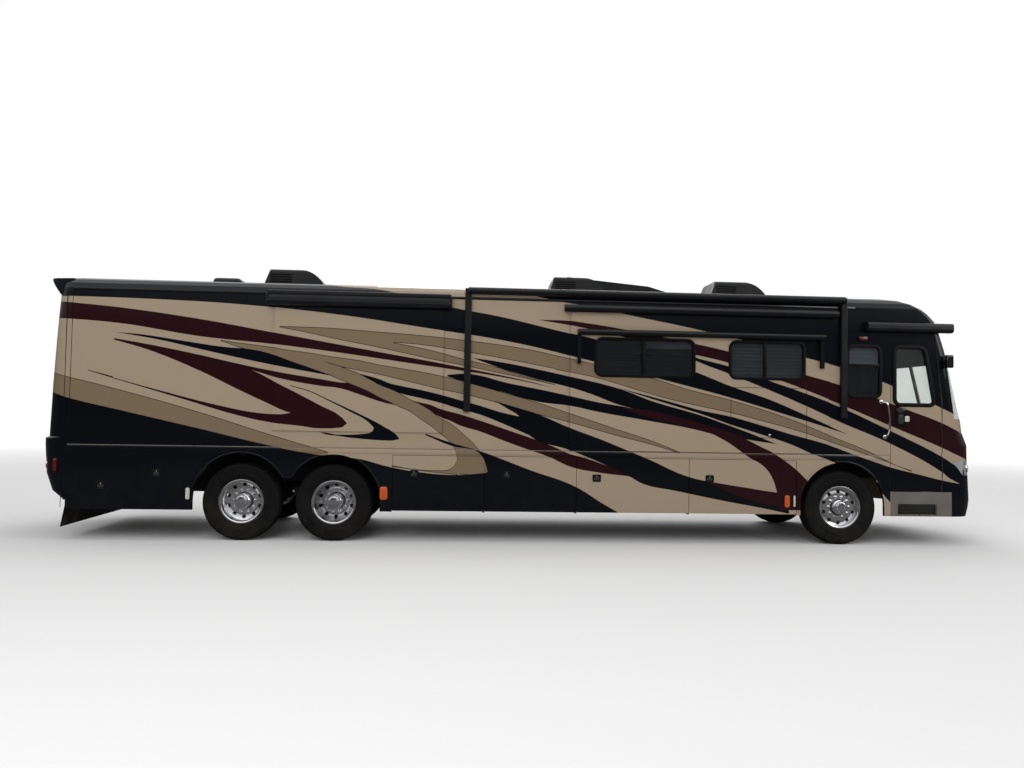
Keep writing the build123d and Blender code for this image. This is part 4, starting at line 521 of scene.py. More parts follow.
def finish_material(name, colour, roughness, metallic=0.0, grain=300.0, bump=0.05, spread=0.12, dust=0.0,
                    dust_top=1.2, coat=0.0, specular=0.3, painted_shade_within=0.0, looks=None):
    """Plain finish with grain, blotches and road dust; with painted_shade_within, faces nearer the middle of
    the coach than that turn near-black as painted shade.
    """
    material, tree, shader, place = new_material(name)
    vector = place.outputs["Object"]
    surface = use_group(tree, "Surface grain", {"Vector": vector, "Grain scale": grain, "Blotch scale": 3.0})
    fine, blotch = surface.outputs
    base = scaled(tree, linear(colour)[:3], ramp(tree, blotch, 0.3, 0.7, 1.0 - spread, 1.0 + spread))
    rough = ramp(tree, blotch, 0.3, 0.7, roughness * 0.8, min(1.0, roughness * 1.25))
    # Painted shade: faces near the middle of the coach, such as the inner side of a rim, turn near-black
    if painted_shade_within:
        across = calc(tree, "ABSOLUTE", parts_of(tree, vector)[1])
        base = blend_colour(tree, calc(tree, "LESS_THAN", across, painted_shade_within), base, linear(RIM_PAINTED_SHADE))
    if dust:
        mask = use_group(tree, "Road dust", {"Vector": vector, "Top": dust_top, "Strength": dust}).outputs[0]
        base = blend_colour(tree, mask, base, linear(looks.colours.dust))
        rough = calc(tree, "ADD", rough, calc(tree, "MULTIPLY", mask, DUST_ROUGH))
    feed(tree, shader, {
        "Base Color": base, "Roughness": rough, "Normal": relief(tree, fine, bump, 0.002),
        "Metallic": metallic, "Coat Weight": coat, "Specular IOR Level": specular})
    return material


def edge_curve(tree, along, points, start, span):
    """Height of a stripe's edge along its own length."""
    made = add_node(tree, "ShaderNodeFloatCurve", {1: along})
    curve = made.mapping.curves[0]
    places = [((x - start) / span, z / STRIPE_TOP) for x, z in points]
    curve.points[0].location = places[0]
    curve.points[-1].location = places[-1]
    for place in places[1:-1]:
        curve.points.new(*place)
    for point in curve.points:
        point.handle_type = "AUTO_CLAMPED"
    made.mapping.update()
    return made.outputs[0]


def coach_paint(looks):
    """Gloss paint with the swept stripes on the outside and plain inner faces, kept dark as painted shade."""
    material, tree, shader, place = new_material("coach_paint")
    colours = looks.colours
    vector = place.outputs["Object"]
    x, y, z = parts_of(tree, vector)
    height = calc(tree, "DIVIDE", z, STRIPE_TOP)
    base = linear(colours.tan)
    for name, colour, lined, upper, lower in STRIPES:
        ends = [point[0] for point in upper + lower]
        start = min(ends)
        span = max(ends) - start
        along = calc(tree, "DIVIDE", calc(tree, "SUBTRACT", x, start), span)
        band = use_group(tree, "Stripe band", {
            "Height": height, "Along": along, "Line": looks.sizes.line_width / STRIPE_TOP,
            "Upper": edge_curve(tree, along, upper, start, span),
            "Lower": edge_curve(tree, along, lower, start, span)})
        band.label = name
        if lined:
            base = blend_colour(tree, band.outputs[1], base, linear(colours.line))
        base = blend_colour(tree, band.outputs[0], base, linear(getattr(colours, colour)))
    wide = calc(tree, "ABSOLUTE", y)
    on_top = calc(tree, "MULTIPLY", calc(tree, "GREATER_THAN", z, ROOF_PAINT_Z),
                  calc(tree, "LESS_THAN", x, ROOF_PAINT_X))
    roof = calc(tree, "MULTIPLY", calc(tree, "LESS_THAN", wide, ROOF_PAINT_Y), on_top)
    base = blend_colour(tree, roof, base, linear(colours.roof_top))
    # Painted shade: edge faces in the openings of the sides take the dark line colour
    facing = parts_of(tree, place.outputs["Normal"])[1]
    shaded_edge = calc(tree, "LESS_THAN", calc(tree, "ABSOLUTE", facing), 0.3)
    middle = calc(tree, "MULTIPLY", calc(tree, "COMPARE", x, *REVEAL_X), calc(tree, "COMPARE", z, *REVEAL_Z))
    base = blend_colour(tree, calc(tree, "MULTIPLY", shaded_edge, middle), base, linear(colours.line))
    cubed = calc(tree, "MULTIPLY", calc(tree, "MULTIPLY", x, x), calc(tree, "MULTIPLY", x, 0.01))
    away = add_node(tree, "ShaderNodeCombineXYZ", {0: cubed, 1: y, 2: calc(tree, "SUBTRACT", z, 1.9)})
    side = add_node(tree, "ShaderNodeVectorMath", {0: away.outputs[0], 1: place.outputs["Normal"]},
                    operation="DOT_PRODUCT")
    # Inner faces take a dark colour, painted shade for the interior
    inner = calc(tree, "LESS_THAN", side.outputs["Value"], -0.25)
    base = blend_colour(tree, inner, base, linear(colours.lining_and_shade))
    # Painted shade: the inner faces low round the wheels turn near-black
    near_wheels = calc(tree, "MAXIMUM", calc(tree, "COMPARE", x, *FRONT_WELL_X),
                       calc(tree, "COMPARE", x, *REAR_WELL_X))
    well = calc(tree, "MULTIPLY", calc(tree, "LESS_THAN", z, WELL_TOP_Z), near_wheels)
    base = blend_colour(tree, calc(tree, "MULTIPLY", inner, well), base, linear(WELL_PAINTED_SHADE))
    base = blend_colour(tree, calc(tree, "GREATER_THAN", wide, FITTING_Y), base, linear(colours.charcoal))
    surface = use_group(tree, "Surface grain", {"Vector": vector, "Grain scale": 420.0, "Blotch scale": 1.7})
    fine, blotch = surface.outputs
    base = scaled(tree, base, ramp(tree, blotch, 0.2, 0.8, 0.99, 1.01))
    dust = use_group(tree, "Road dust", {"Vector": vector, "Top": 1.0, "Strength": 0.05}).outputs[0]
    base = blend_colour(tree, dust, base, linear(colours.dust))
    dull = calc(tree, "MULTIPLY", calc(tree, "ADD", dust, inner), 0.45)
    feed(tree, shader, {
        "Base Color": base, "Roughness": calc(tree, "ADD", ramp(tree, blotch, 0.3, 0.7, 0.3, 0.36), dull),
        "Normal": relief(tree, fine, 0.015, 0.001),
        "Coat Weight": calc(tree, "SUBTRACT", 0.5, calc(tree, "MULTIPLY", inner, 0.5)),
        "Coat Roughness": 0.04, "Specular IOR Level": 0.08})
    return material


def glass_material(name, colour, transmission, roughness):
    """Tinted glass with faint smears in its gloss."""
    material, tree, shader, place = new_material(name)
    surface = use_group(tree, "Surface grain", {"Vector": place.outputs["Object"], "Grain scale": 30.0,
                                                "Blotch scale": 2.0})
    blotch = surface.outputs[1]
    feed(tree, shader, {
        "Base Color": scaled(tree, linear(colour)[:3], ramp(tree, blotch, 0.3, 0.7, 0.92, 1.04)),
        "Roughness": ramp(tree, blotch, 0.3, 0.7, roughness, roughness * 1.6),
        "Transmission Weight": transmission, "IOR": 1.45})
    return material


def lens_material(name, colour, glow):
    """Moulded lamp lens with fine vertical flutes, its colour darker in the grooves as painted shade."""
    material, tree, shader, place = new_material(name)
    flutes_and_shade = add_node(tree, "ShaderNodeTexWave",
                      {"Vector": place.outputs["Object"], "Scale": 40.0, "Distortion": 0.0},
                      wave_type="BANDS", bands_direction="X").outputs["Fac"]
    # Painted shade: the lens colour is darker along the flutes' grooves
    base = scaled(tree, linear(colour)[:3], ramp(tree, flutes_and_shade, 0.0, 1.0, 0.5, 1.05))
    feed(tree, shader, {
        "Base Color": base, "Emission Color": base, "Emission Strength": glow, "Roughness": 0.12,
        "Coat Weight": 0.6, "Normal": relief(tree, flutes_and_shade, 0.25, 0.003)})
    return material


def leather_material(looks):
    """Leather with a pebbled grain and soft colour changes."""
    material, tree, shader, place = new_material("seat_leather")
    vector = place.outputs["Object"]
    surface = use_group(tree, "Surface grain", {"Vector": vector, "Grain scale": 60.0, "Blotch scale": 7.0})
    pebble = add_node(tree, "ShaderNodeTexVoronoi", {"Vector": vector, "Scale": 260.0}).outputs[0]
    shade = ramp(tree, surface.outputs[1], 0.3, 0.7, 0.85, 1.1)
    feed(tree, shader, {
        "Base Color": scaled(tree, linear(looks.colours.leather)[:3], shade),
        "Roughness": ramp(tree, pebble, 0.0, 0.6, 0.42, 0.6),
        "Normal": relief(tree, pebble, 0.25, 0.002)})
    return material


def make_materials(looks):
    """All finishes of the coach, by name."""
    colours = looks.colours
    coach_paint(looks)
    glass_material("cab_glass", colours.glass, 1.0, 0.01)
    glass_material("room_glass", colours.dark_glass, 1.0, 0.01)
    lens_material("lens_amber", colours.amber, 0.12)
    lens_material("lens_red", colours.red, 0.0)
    lens_material("lens_milk", srgb(205, 202, 190), 0.0)
    lens_material("lens_clear", srgb(214, 219, 224), 0.0)
    leather_material(looks)
    finish_material("tyre_rubber", colours.rubber, 0.75, grain=260.0, bump=0.25, specular=0.2, dust=0.12,
                    dust_top=1.05, looks=looks)
    finish_material("seal_rubber", srgb(7, 7, 8), 0.45, grain=180.0, bump=0.08, specular=0.15)
    finish_material("gloss_black", srgb(10, 10, 12), 0.18, grain=420.0, bump=0.01, coat=0.4)
    # The rims are near-black on their inner side as painted shade under the coach
    finish_material("polished_alloy", srgb(222, 222, 224), 0.14, metallic=0.95, grain=220.0, bump=0.04,
                    dust=0.08, dust_top=1.0, painted_shade_within=0.92, looks=looks)
    finish_material("lamp_silver", srgb(196, 199, 204), 0.12, metallic=0.7, grain=90.0, bump=0.15, coat=1.0)
    # A real bead whose light colour is a painted highlight along the belt's edge
    finish_material("bead_metal", srgb(122, 116, 107), 0.3, metallic=0.3, grain=240.0, bump=0.03)
    finish_material("chrome", srgb(226, 227, 230), 0.08, metallic=1.0, grain=200.0, bump=0.01, spread=0.04)
    finish_material("step_silver", srgb(134, 130, 124), 0.3, metallic=0.6, grain=260.0, bump=0.05, dust=0.3,
                    looks=looks)
    finish_material("chassis_black", srgb(12, 12, 13), 0.6, grain=120.0, bump=0.2, dust=0.25, dust_top=1.3,
                    looks=looks)
    finish_material("floor_cover", srgb(96, 84, 70), 0.7, grain=140.0, bump=0.3)
    finish_material("trim_plastic", srgb(44, 43, 42), 0.5, grain=320.0, bump=0.2)
    finish_material("awning_case", colours.charcoal, 0.36, grain=240.0, bump=0.05, spread=0.2)
    finish_material("roof_plastic", colours.charcoal, 0.5, grain=200.0, bump=0.15, spread=0.2)
    finish_material("guard_rubber", srgb(18, 18, 19), 0.7, grain=60.0, bump=0.3, dust=0.5, looks=looks)
    finish_material("shade_cloth", srgb(156, 156, 158), 0.85, grain=500.0, bump=0.3, spread=0.06)
    # A lighter copy of the shade cloth, as painted light for the tall window's shade
    finish_material("pale_shade_cloth", srgb(246, 246, 248), 0.85, grain=500.0, bump=0.3, spread=0.06)
    # Near-black cloth for the left shades and the curtain, as painted shade
    finish_material("curtain_cloth", srgb(13, 13, 14), 0.9, grain=500.0, bump=0.4, spread=0.1)


NODE_FINISH = {
    "coach_paint": PAINTED,
    "cab_glass": ("windscreen", "entry_door_glass"),
    "room_glass": ("slide_glass_left", "slide_glass_right", "side_glass"),
    "lens_red": ("tail_lamps",),
    "polished_alloy": tuple(f"rim_{axle}_{side}" for axle in AXLES for side in SIDES),
    "tyre_rubber": tuple(f"tyre_{axle}_{side}" for axle in AXLES for side in SIDES),
    "chassis_black": ("chassis_frame", "engine", "front_axle", "drive_axle", "tag_axle", "knuckle_left",
                      "knuckle_right", "storage_tray"),
    "floor_cover": ("floor", "entry_steps"),
    "step_silver": ("step_skirt",),
    "awning_case": ("awnings",),
    "roof_plastic": ("roof_equipment",),
    "guard_rubber": ("rear_guard",),
    "gloss_black": ("mirrors", "rear_grille"),
    "trim_plastic": ("dashboard", "steering_wheel"),
    "seat_leather": ("cab_seats",),
    "lamp_silver": ("headlamps",),
}


# Mesh helpers

def flat_face(points, y, radius=0.0, segments=6):
    """New bmesh with one face in X and Z, its corners rounded."""
    bm = bmesh.new()
    bm.faces.new([bm.verts.new((x, y, z)) for x, z in points])
    if radius:
        bmesh.ops.bevel(bm, geom=bm.verts[:], offset=radius, offset_type="OFFSET", segments=segments,
                        profile=0.5, affect="VERTICES", material=-1)
    return bm


def thicken(bm, depth):
    """Give flat faces a depth along Y and point the shell outwards."""
    grown = bmesh.ops.extrude_face_region(bm, geom=bm.faces[:])
    moved = [item for item in grown["geom"] if isinstance(item, bmesh.types.BMVert)]
    bmesh.ops.translate(bm, vec=(0.0, depth, 0.0), verts=moved)
    bmesh.ops.recalc_face_normals(bm, faces=bm.faces[:])
    return bm


def soften(bm, width, segments=2, angle=35.0):
    """Round the sharp edges."""
    limit = math.radians(angle)
    sharp = [edge for edge in bm.edges if len(edge.link_faces) == 2 and edge.calc_face_angle() > limit]
    bmesh.ops.bevel(bm, geom=sharp, offset=width, offset_type="OFFSET", segments=segments, profile=0.5,
                    affect="EDGES", material=-1)
    return bm


def plate(points, y0, y1, radius=0.0, edge=0.002):
    """Flat plate with rounded corners and softened edges."""
    bm = thicken(flat_face(points, y0, radius), y1 - y0)
    return soften(bm, edge) if edge else bm


def box_points(x0, x1, z0, z1):
    """Corners of an upright rectangle."""
    return ((x0, z0), (x1, z0), (x1, z1), (x0, z1))


def ring(points, y0, y1, radius, width, edge=0.002):
    """Flat ring along an outline."""
    bm = flat_face(points, y0, radius)
    bmesh.ops.inset_region(bm, faces=bm.faces[:], thickness=width, use_even_offset=True, use_boundary=True)
    middle = max(bm.faces, key=lambda face: len(face.verts))
    bmesh.ops.delete(bm, geom=[middle], context="FACES_ONLY")
    thicken(bm, y1 - y0)
    return soften(bm, edge) if edge else bm


def bar(x0, x1, y0, y1, z0, z1, edge=0.003):
    """Box with softened edges."""
    bm = bmesh.new()
    bmesh.ops.create_cube(bm, size=1.0)
    bmesh.ops.scale(bm, vec=(x1 - x0, y1 - y0, z1 - z0), verts=bm.verts[:])
    bmesh.ops.translate(bm, vec=((x0 + x1) / 2, (y0 + y1) / 2, (z0 + z1) / 2), verts=bm.verts[:])
    return soften(bm, edge) if edge else bm


def turned(points, steps, close=True):
    """Section of (along Y, radius) points turned about the Y axis."""
    bm = bmesh.new()
    verts = [bm.verts.new((0.0, along, radius)) for along, radius in points]
    pairs = list(zip(verts, verts[1:] + verts[:1] if close else verts[1:]))
    edges = [bm.edges.new(pair) for pair in pairs]
    bmesh.ops.spin(bm, geom=verts + edges, cent=(0, 0, 0), axis=(0, 1, 0), dvec=(0, 0, 0), angle=2 * math.pi,
                   steps=steps, use_merge=True, use_duplicate=False)
    bmesh.ops.remove_doubles(bm, verts=bm.verts[:], dist=1e-5)
    bmesh.ops.recalc_face_normals(bm, faces=bm.faces[:])
    return bm


def smooth_line(name, points, resolution):
    """Curve with one smooth line from the first point to the last, near those between."""
    curve = bpy.data.curves.new(name, "CURVE")
    curve.dimensions = "3D"
    spline = curve.splines.new("NURBS")
    spline.points.add(len(points) - 1)
    for point, place in zip(spline.points, points):
        point.co = (*place, 1.0)
    spline.use_endpoint_u = True
    spline.order_u = 3
    spline.resolution_u = resolution
    return curve


def tube(points, radius, segments=10):
    """Round tube along a smooth line."""
    curve = smooth_line("tube_path", points, 8)
    curve.bevel_depth = radius
    curve.bevel_resolution = segments // 4
    curve.use_fill_caps = True
    return curve_mesh(curve)


def curve_mesh(curve):
    """Mesh of a curve, which is then removed."""
    carrier = bpy.data.objects.new(curve.name, curve)
    mesh = bpy.data.meshes.new_from_object(carrier)
    bm = bmesh.new()
    bm.from_mesh(mesh)
    bpy.data.objects.remove(carrier)
    bpy.data.curves.remove(curve)
    bpy.data.meshes.remove(mesh)
    return bm


def place_shape(bm, x=0.0, y=0.0, z=0.0, flip=False):
    """Move a shape to its place; flip turns its +Y end to the right side."""
    if flip:
        bmesh.ops.rotate(bm, cent=(0, 0, 0), matrix=Matrix.Rotation(math.pi, 3, "Z"), verts=bm.verts[:])
    bmesh.ops.translate(bm, vec=(x, y, z), verts=bm.verts[:])
    return bm


def touch(node, origin, heading):
    """Place and outward direction where a line first meets a node."""
    bm = bmesh.new()
    bm.from_mesh(NODES[node].data)
    place, normal = BVHTree.FromBMesh(bm).ray_cast(Vector(origin), Vector(heading))[:2]
    bm.free()
    if place is None:
        raise RuntimeError(f"nothing of {node} lies on the line")
    return place, normal


def face_to(bm, place, normal):
    """Turn a shape's +Y end along a direction and move it to a place."""
    turn = normal.to_track_quat("Y", "Z").to_matrix()
    bmesh.ops.rotate(bm, cent=(0, 0, 0), matrix=turn, verts=bm.verts[:])
    bmesh.ops.translate(bm, vec=place, verts=bm.verts[:])
    return bm


def join(bm, other):
    """Move the faces of another shape into a shape."""
    mesh = bpy.data.meshes.new("shape")
    other.to_mesh(mesh)
    other.free()
    bm.from_mesh(mesh)
    bpy.data.meshes.remove(mesh)
    return bm


class Shape:
    """Gathers the shapes of one piece and makes its object."""

    def __init__(self, name, body, slot, *materials):
        self.name = name
        self.body = body
        self.slot = slot
        self.materials = materials
        self.bm = bmesh.new()

    def add(self, bm, material=0):
        """Take in a shape with one of the piece's materials."""
        for face in bm.faces:
            face.material_index = material
        join(self.bm, bm)
        return self

    def mirror(self):
        """Copy everything to the other side of the coach."""
        geometry = self.bm.verts[:] + self.bm.edges[:] + self.bm.faces[:]
        bmesh.ops.mirror(self.bm, geom=geometry, matrix=Matrix.Identity(4), merge_dist=0.0, axis="Y")
        return self

    def make(self, smooth=40.0):
        """Object of the piece, on its body."""
        bmesh.ops.recalc_face_normals(self.bm, faces=self.bm.faces[:])
        mesh = bpy.data.meshes.new(self.name)
        self.bm.to_mesh(mesh)
        self.bm.free()
        mesh.shade_smooth()
        mesh.set_sharp_from_angle(angle=math.radians(smooth))
        for material in self.materials:
            mesh.materials.append(bpy.data.materials[material])
        made = bpy.data.objects.new(self.name, mesh)
        bpy.context.scene.collection.objects.link(made)
        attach(made, self.body)
        return made


class MOTORHOME_OT_finishes(bpy.types.Operator):
    """Make the finishes and put them on the frame's nodes"""
    bl_idname = "motorhome.finishes"
    bl_label = "Finishes"

    def execute(self, context):
        make_materials(context.scene.motorhome)
        for finish, nodes in NODE_FINISH.items():
            for name in nodes:
                mesh = NODES[name].data
                mesh.materials.clear()
                mesh.materials.append(bpy.data.materials[finish])
        return {"FINISHED"}


class MOTORHOME_OT_windows(bpy.types.Operator):
    """Make the window frames and dividers"""
    bl_idname = "motorhome.windows"
    bl_label = "Window frames"

    def execute(self, context):
        sizes = context.scene.motorhome.sizes
        shapes = {}
        for name, body, face_y, points, radius, dividers in WINDOWS:
            shape = shapes.setdefault(name, Shape(name, body, "trim", "seal_rubber"))
            sense = math.copysign(1.0, face_y)
            out = face_y + sense * sizes.frame_proud
            inside = face_y - sense * 0.014
            width = sizes.door_frame_width if body == "entry" else sizes.frame_width
            lip = width * 0.3
            middle_x = sum(x for x, z in points) / len(points)
            middle_z = sum(z for x, z in points) / len(points)
            grown = tuple((x + math.copysign(lip, x - middle_x), z + math.copysign(lip, z - middle_z))
                          for x, z in points)
            shape.add(ring(grown, inside, out, radius + lip, width))
            tops = [z for x, z in points]
            for x in dividers:
                shape.add(bar(x - 0.022, x + 0.022, min(inside, out) + 0.003, max(inside, out) - 0.003,
                              min(tops) + 0.01, max(tops) - 0.01))
            if name == "window_trim_coach" and face_y < 0:
                shape.add(bar(4.48, 4.94, out, inside, 2.49, 2.528))
        for shape in shapes.values():
            shape.make()
        return {"FINISHED"}


class MOTORHOME_OT_mouldings(bpy.types.Operator):
    """Make the belt, the gutter, the arch trims, the well liners, the topper case and the cap seams"""
    bl_idname = "motorhome.mouldings"
    bl_label = "Mouldings"

    def execute(self, context):
        sizes = context.scene.motorhome.sizes
        belt = Shape("belt_moulding", "coach", "paint", "coach_paint")
        belt.add(bar(*BELT_X, -WALL_Y - 0.009, -WALL_Y + 0.004, sizes.belt_low, sizes.belt_high, 0.008))
        belt.mirror().make()
        # The bead is lighter than the paint: a painted highlight along the belt's upper edge
        bead = Shape("belt_bead", "coach", "trim", "bead_metal")
        bead.add(bar(*BELT_X, -WALL_Y - 0.012, -WALL_Y + 0.002, sizes.belt_high - 0.002,
                     sizes.belt_high + 0.007, 0.003))
        bead.mirror().make()
        gutter = Shape("roof_gutter", "coach", "trim", "gloss_black")
        gutter.add(bar(-6.05, 4.58, -WALL_Y - 0.012, -WALL_Y + 0.004, 3.292, 3.328, 0.006))
        gutter.mirror().make()
        trims = Shape("arch_trims", "coach", "paint", "coach_paint")
        arches = ((FRONT_AXLE_X, FRONT_ARCH_R, 0, 180), (DRIVE_AXLE_X, REAR_ARCH_R, 0, 151.6),
                  (TAG_AXLE_X, REAR_ARCH_R, 28.4, 180))
        for x, radius, start, stop in arches:
            trims.add(self.arch(x, radius, sizes.arch_trim, start, stop))
        near, far = -WALL_Y - ARCH_PROUD, -WALL_Y + ARCH_SUNK
        legs = ((FRONT_AXLE_X - FRONT_ARCH_R, -1), (FRONT_AXLE_X + FRONT_ARCH_R, 1),
                (DRIVE_AXLE_X + REAR_ARCH_R, 1), (TAG_AXLE_X - REAR_ARCH_R, -1))
        for x, sense in legs:
            outer = x + sense * sizes.arch_trim
            trims.add(bar(min(x, outer), max(x, outer), near, far, SKIRT_Z + 0.004, ARCH_Z, 0.002))
        trims.add(bar(-3.285, -3.135, near, far, WEB_Z, WEB_Z + sizes.arch_trim, 0.002))
        trims.mirror().make()
        liners = Shape("wheel_well_liners", "coach", "chassis", "chassis_black")
        for x0, x1 in ((-4.46, -1.96), (3.78, 5.02)):
            liners.add(bar(x0, x1, -0.568, -0.56, 0.74, 1.16, 0.0))
        liners.mirror().make()
        case = Shape("topper_case", "room_right_rear", "awning", "awning_case")
        case.add(bar(-3.52, -1.065, -1.424, -1.334, 3.14, 3.29, 0.04))
        case.add(bar(-3.51, -1.075, -1.404, -1.344, 3.27, 3.345, 0.015))
        for x in (-3.525, -1.085):
            case.add(bar(x, x + 0.025, -1.426, -1.33, 3.135, 3.295, 0.01))
        case.make()
        seams = Shape("cap_seams", "coach", "trim", "seal_rubber")
        for x in (-6.125, -6.055):
            seams.add(bar(x, x + sizes.seam, -WALL_Y - SEAM_PROUD, -WALL_Y + SEAM_SUNK, 0.43, 3.27, 0.0))
        seams.mirror()
        seams.add(bar(5.842, 5.842 + sizes.seam, WALL_Y - SEAM_SUNK, WALL_Y + SEAM_PROUD, 0.43, 2.9, 0.0))
        seams.make()
        return {"FINISHED"}

    def arch(self, x, radius, width, start, stop):
        """Bent strip round one arch, from a small section swept about the wheel centre."""
        bm = bmesh.new()
        y0, y1 = -WALL_Y - ARCH_PROUD, -WALL_Y + ARCH_SUNK
        outer = radius + width
        places = ((radius, y0 + 0.003), (radius + 0.004, y0), (outer - 0.004, y0), (outer, y0 + 0.003),
                  (outer, y1), (radius, y1))
        verts = [bm.verts.new((reach, y, 0.0)) for reach, y in places]
        face = bm.faces.new(verts)
        turn = Matrix.Rotation(-math.radians(start), 3, "Y")
        bmesh.ops.rotate(bm, cent=(0, 0, 0), matrix=turn, verts=verts)
        swept = bmesh.ops.spin(bm, geom=[face, *face.edges, *verts], cent=(0, 0, 0), axis=(0, -1, 0),
                               dvec=(0, 0, 0), angle=math.radians(stop - start), steps=40,
                               use_merge=False, use_duplicate=False)
        if not swept["geom_last"]:
            raise RuntimeError("the arch trim was not swept")
        bmesh.ops.remove_doubles(bm, verts=bm.verts[:], dist=1e-5)
        return place_shape(bm, x, 0.0, ARCH_Z)


class MOTORHOME_OT_hatches(bpy.types.Operator):
    """Make the hatch seams, the screen hatch and the latches"""
    bl_idname = "motorhome.hatches"
    bl_label = "Hatches and latches"

    def execute(self, context):
        sizes = context.scene.motorhome.sizes
        seams = Shape("hatch_seams", "coach", "trim", "seal_rubber")
        for side in (-1, 1):
            back, front = side * (WALL_Y - SEAM_SUNK), side * (WALL_Y + SEAM_PROUD)
            for points in HATCHES:
                seams.add(ring(points, back, front, 0.03, sizes.seam, 0.0))
        seams.make()
        screen = Shape("screen_hatch", "room_right_front", "trim", "seal_rubber", "chrome")
        face = -SLIDE_Y
        outline = box_points(2.8, 3.88, 1.47, 2.17)
        screen.add(ring(outline, face + SEAM_SUNK, face - SEAM_PROUD, 0.02, sizes.seam, 0.0))
        section = ((-0.001, 0.0), (-0.001, 0.016), (0.004, 0.016), (0.006, 0.013), (0.006, 0.0))
        lock = turned(section, 20, False)
        screen.add(place_shape(lock, 3.35, face, 1.51, flip=True), 1)
        screen.make()
        shapes = {}
        for side, sense in (("right", -1), ("left", 1)):
            for body, x, z in LATCHES:
                body = body.format(side=side)
                made = Shape(f"latch_{body}", body, "trim", "gloss_black", "chrome", "trim_plastic")
                self.latch(shapes.setdefault(body, made), x, z, sense)
        for shape in shapes.values():
            shape.make()
        return {"FINISHED"}

    def latch(self, shape, x, z, sense):
        """Square bezel with a dished plate and a pull paddle."""
        face = sense * WALL_Y
        points = box_points(x - 0.058, x + 0.058, z - 0.05, z + 0.05)
        shape.add(ring(points, face - sense * 0.002, face + sense * 0.008, 0.018, 0.012))
        shape.add(plate(points, face - sense * 0.002, face + sense * 0.002, 0.018, 0.0))
        paddle = box_points(x - 0.036, x + 0.036, z - 0.026, z + 0.012)
        shape.add(plate(paddle, face, face + sense * 0.007, 0.012), 2)
        section = ((-0.001, 0.0), (-0.001, 0.008), (0.006, 0.008), (0.0075, 0.0065), (0.0075, 0.0))
        barrel = turned(section, 16, False)
        shape.add(place_shape(barrel, x, face, z + 0.024, flip=sense < 0), 1)


class MOTORHOME_OT_lamps(bpy.types.Operator):
    """Make the marker lamps and the lamp over the tall window"""
    bl_idname = "motorhome.lamps"
    bl_label = "Marker lamps"

    def execute(self, context):
        shapes = {}
        for name, lens, x0, x1, z0, z1 in MARKERS:
            shape = shapes.setdefault(name, Shape(name, "coach", "trim", lens, "gloss_black"))
            bend = (x1 - x0) * 0.35
            shape.add(plate(box_points(x0, x1, z0, z1), -WALL_Y, -WALL_Y - 0.006, bend), 1)
            lens_points = box_points(x0 + 0.008, x1 - 0.008, z0 + 0.008, z1 - 0.008)
            shape.add(plate(lens_points, -WALL_Y - 0.004, -WALL_Y - 0.022, bend * 0.8, 0.008), 0)
        for shape in shapes.values():
            shape.mirror().make()
        porch = Shape("window_lamp", "coach", "trim", "gloss_black", "lens_red")
        porch.add(plate(box_points(4.62, 4.75, 2.845, 2.915), -WALL_Y, -WALL_Y - 0.02, 0.02), 0)
        lens_points = box_points(4.632, 4.738, 2.857, 2.903)
        porch.add(plate(lens_points, -WALL_Y - 0.015, -WALL_Y - 0.03, 0.015, 0.006), 1)
        porch.make()
        return {"FINISHED"}


class MOTORHOME_OT_entry(bpy.types.Operator):
    """Make the entry door's handle and seal, the step's tread and the grab handle"""
    bl_idname = "motorhome.entry"
    bl_label = "Entry fittings"

    def execute(self, context):
        handle = Shape("entry_handle", "entry", "trim", "gloss_black", "trim_plastic", "lens_milk")
        handle.add(plate(box_points(5.17, 5.33, 1.67, 1.92), -WALL_Y, -WALL_Y - 0.012, 0.03), 0)
        paddle = box_points(5.195, 5.27, 1.70, 1.83)
        handle.add(plate(paddle, -WALL_Y - 0.01, -WALL_Y - 0.026, 0.02, 0.006), 1)
        handle.add(plate(box_points(5.295, 5.36, 1.73, 1.81), -WALL_Y, -WALL_Y - 0.02, 0.015, 0.005), 2)
        handle.make()
        seal = Shape("entry_door_seal", "entry", "trim", "seal_rubber")
        outline = ((5.092, 0.757), (5.836, 0.757), (5.836, 1.9), (5.743, 2.928), (5.092, 2.928))
        seal.add(ring(outline, -WALL_Y + SEAM_SUNK, -WALL_Y - SEAM_PROUD, 0.0, 0.011, 0.0))
        seal.make()
        tread = Shape("step_tread", "coach", "trim", "seal_rubber", "trim_plastic")
        tread.add(bar(5.204, 5.756, -1.272, -1.235, 0.434, 0.576, 0.006))
        for index in range(6):
            z = 0.448 + 0.021 * index
            tread.add(bar(5.215, 5.745, -1.278, -1.268, z, z + 0.011, 0.003), 1)
        tread.make()
        grab = Shape("entry_grab_handle", "coach", "steel", "chrome")
        y = -WALL_Y
        grab.add(tube(((4.955, y + 0.004, 2.0), (4.955, y - 0.05, 2.0), (5.03, y - 0.055, 1.985),
                       (5.055, y - 0.055, 1.8), (5.055, y - 0.055, 1.6), (5.01, y - 0.05, 1.51),
                       (5.01, y + 0.004, 1.51)), 0.014))
        for x, z in ((4.955, 2.0), (5.01, 1.51)):
            foot = turned(((0.0, 0.0), (0.0, 0.03), (0.006, 0.03), (0.012, 0.02), (0.012, 0.0)), 20, False)
            grab.add(place_shape(foot, x, y, z, flip=True))
        grab.make()
        return {"FINISHED"}


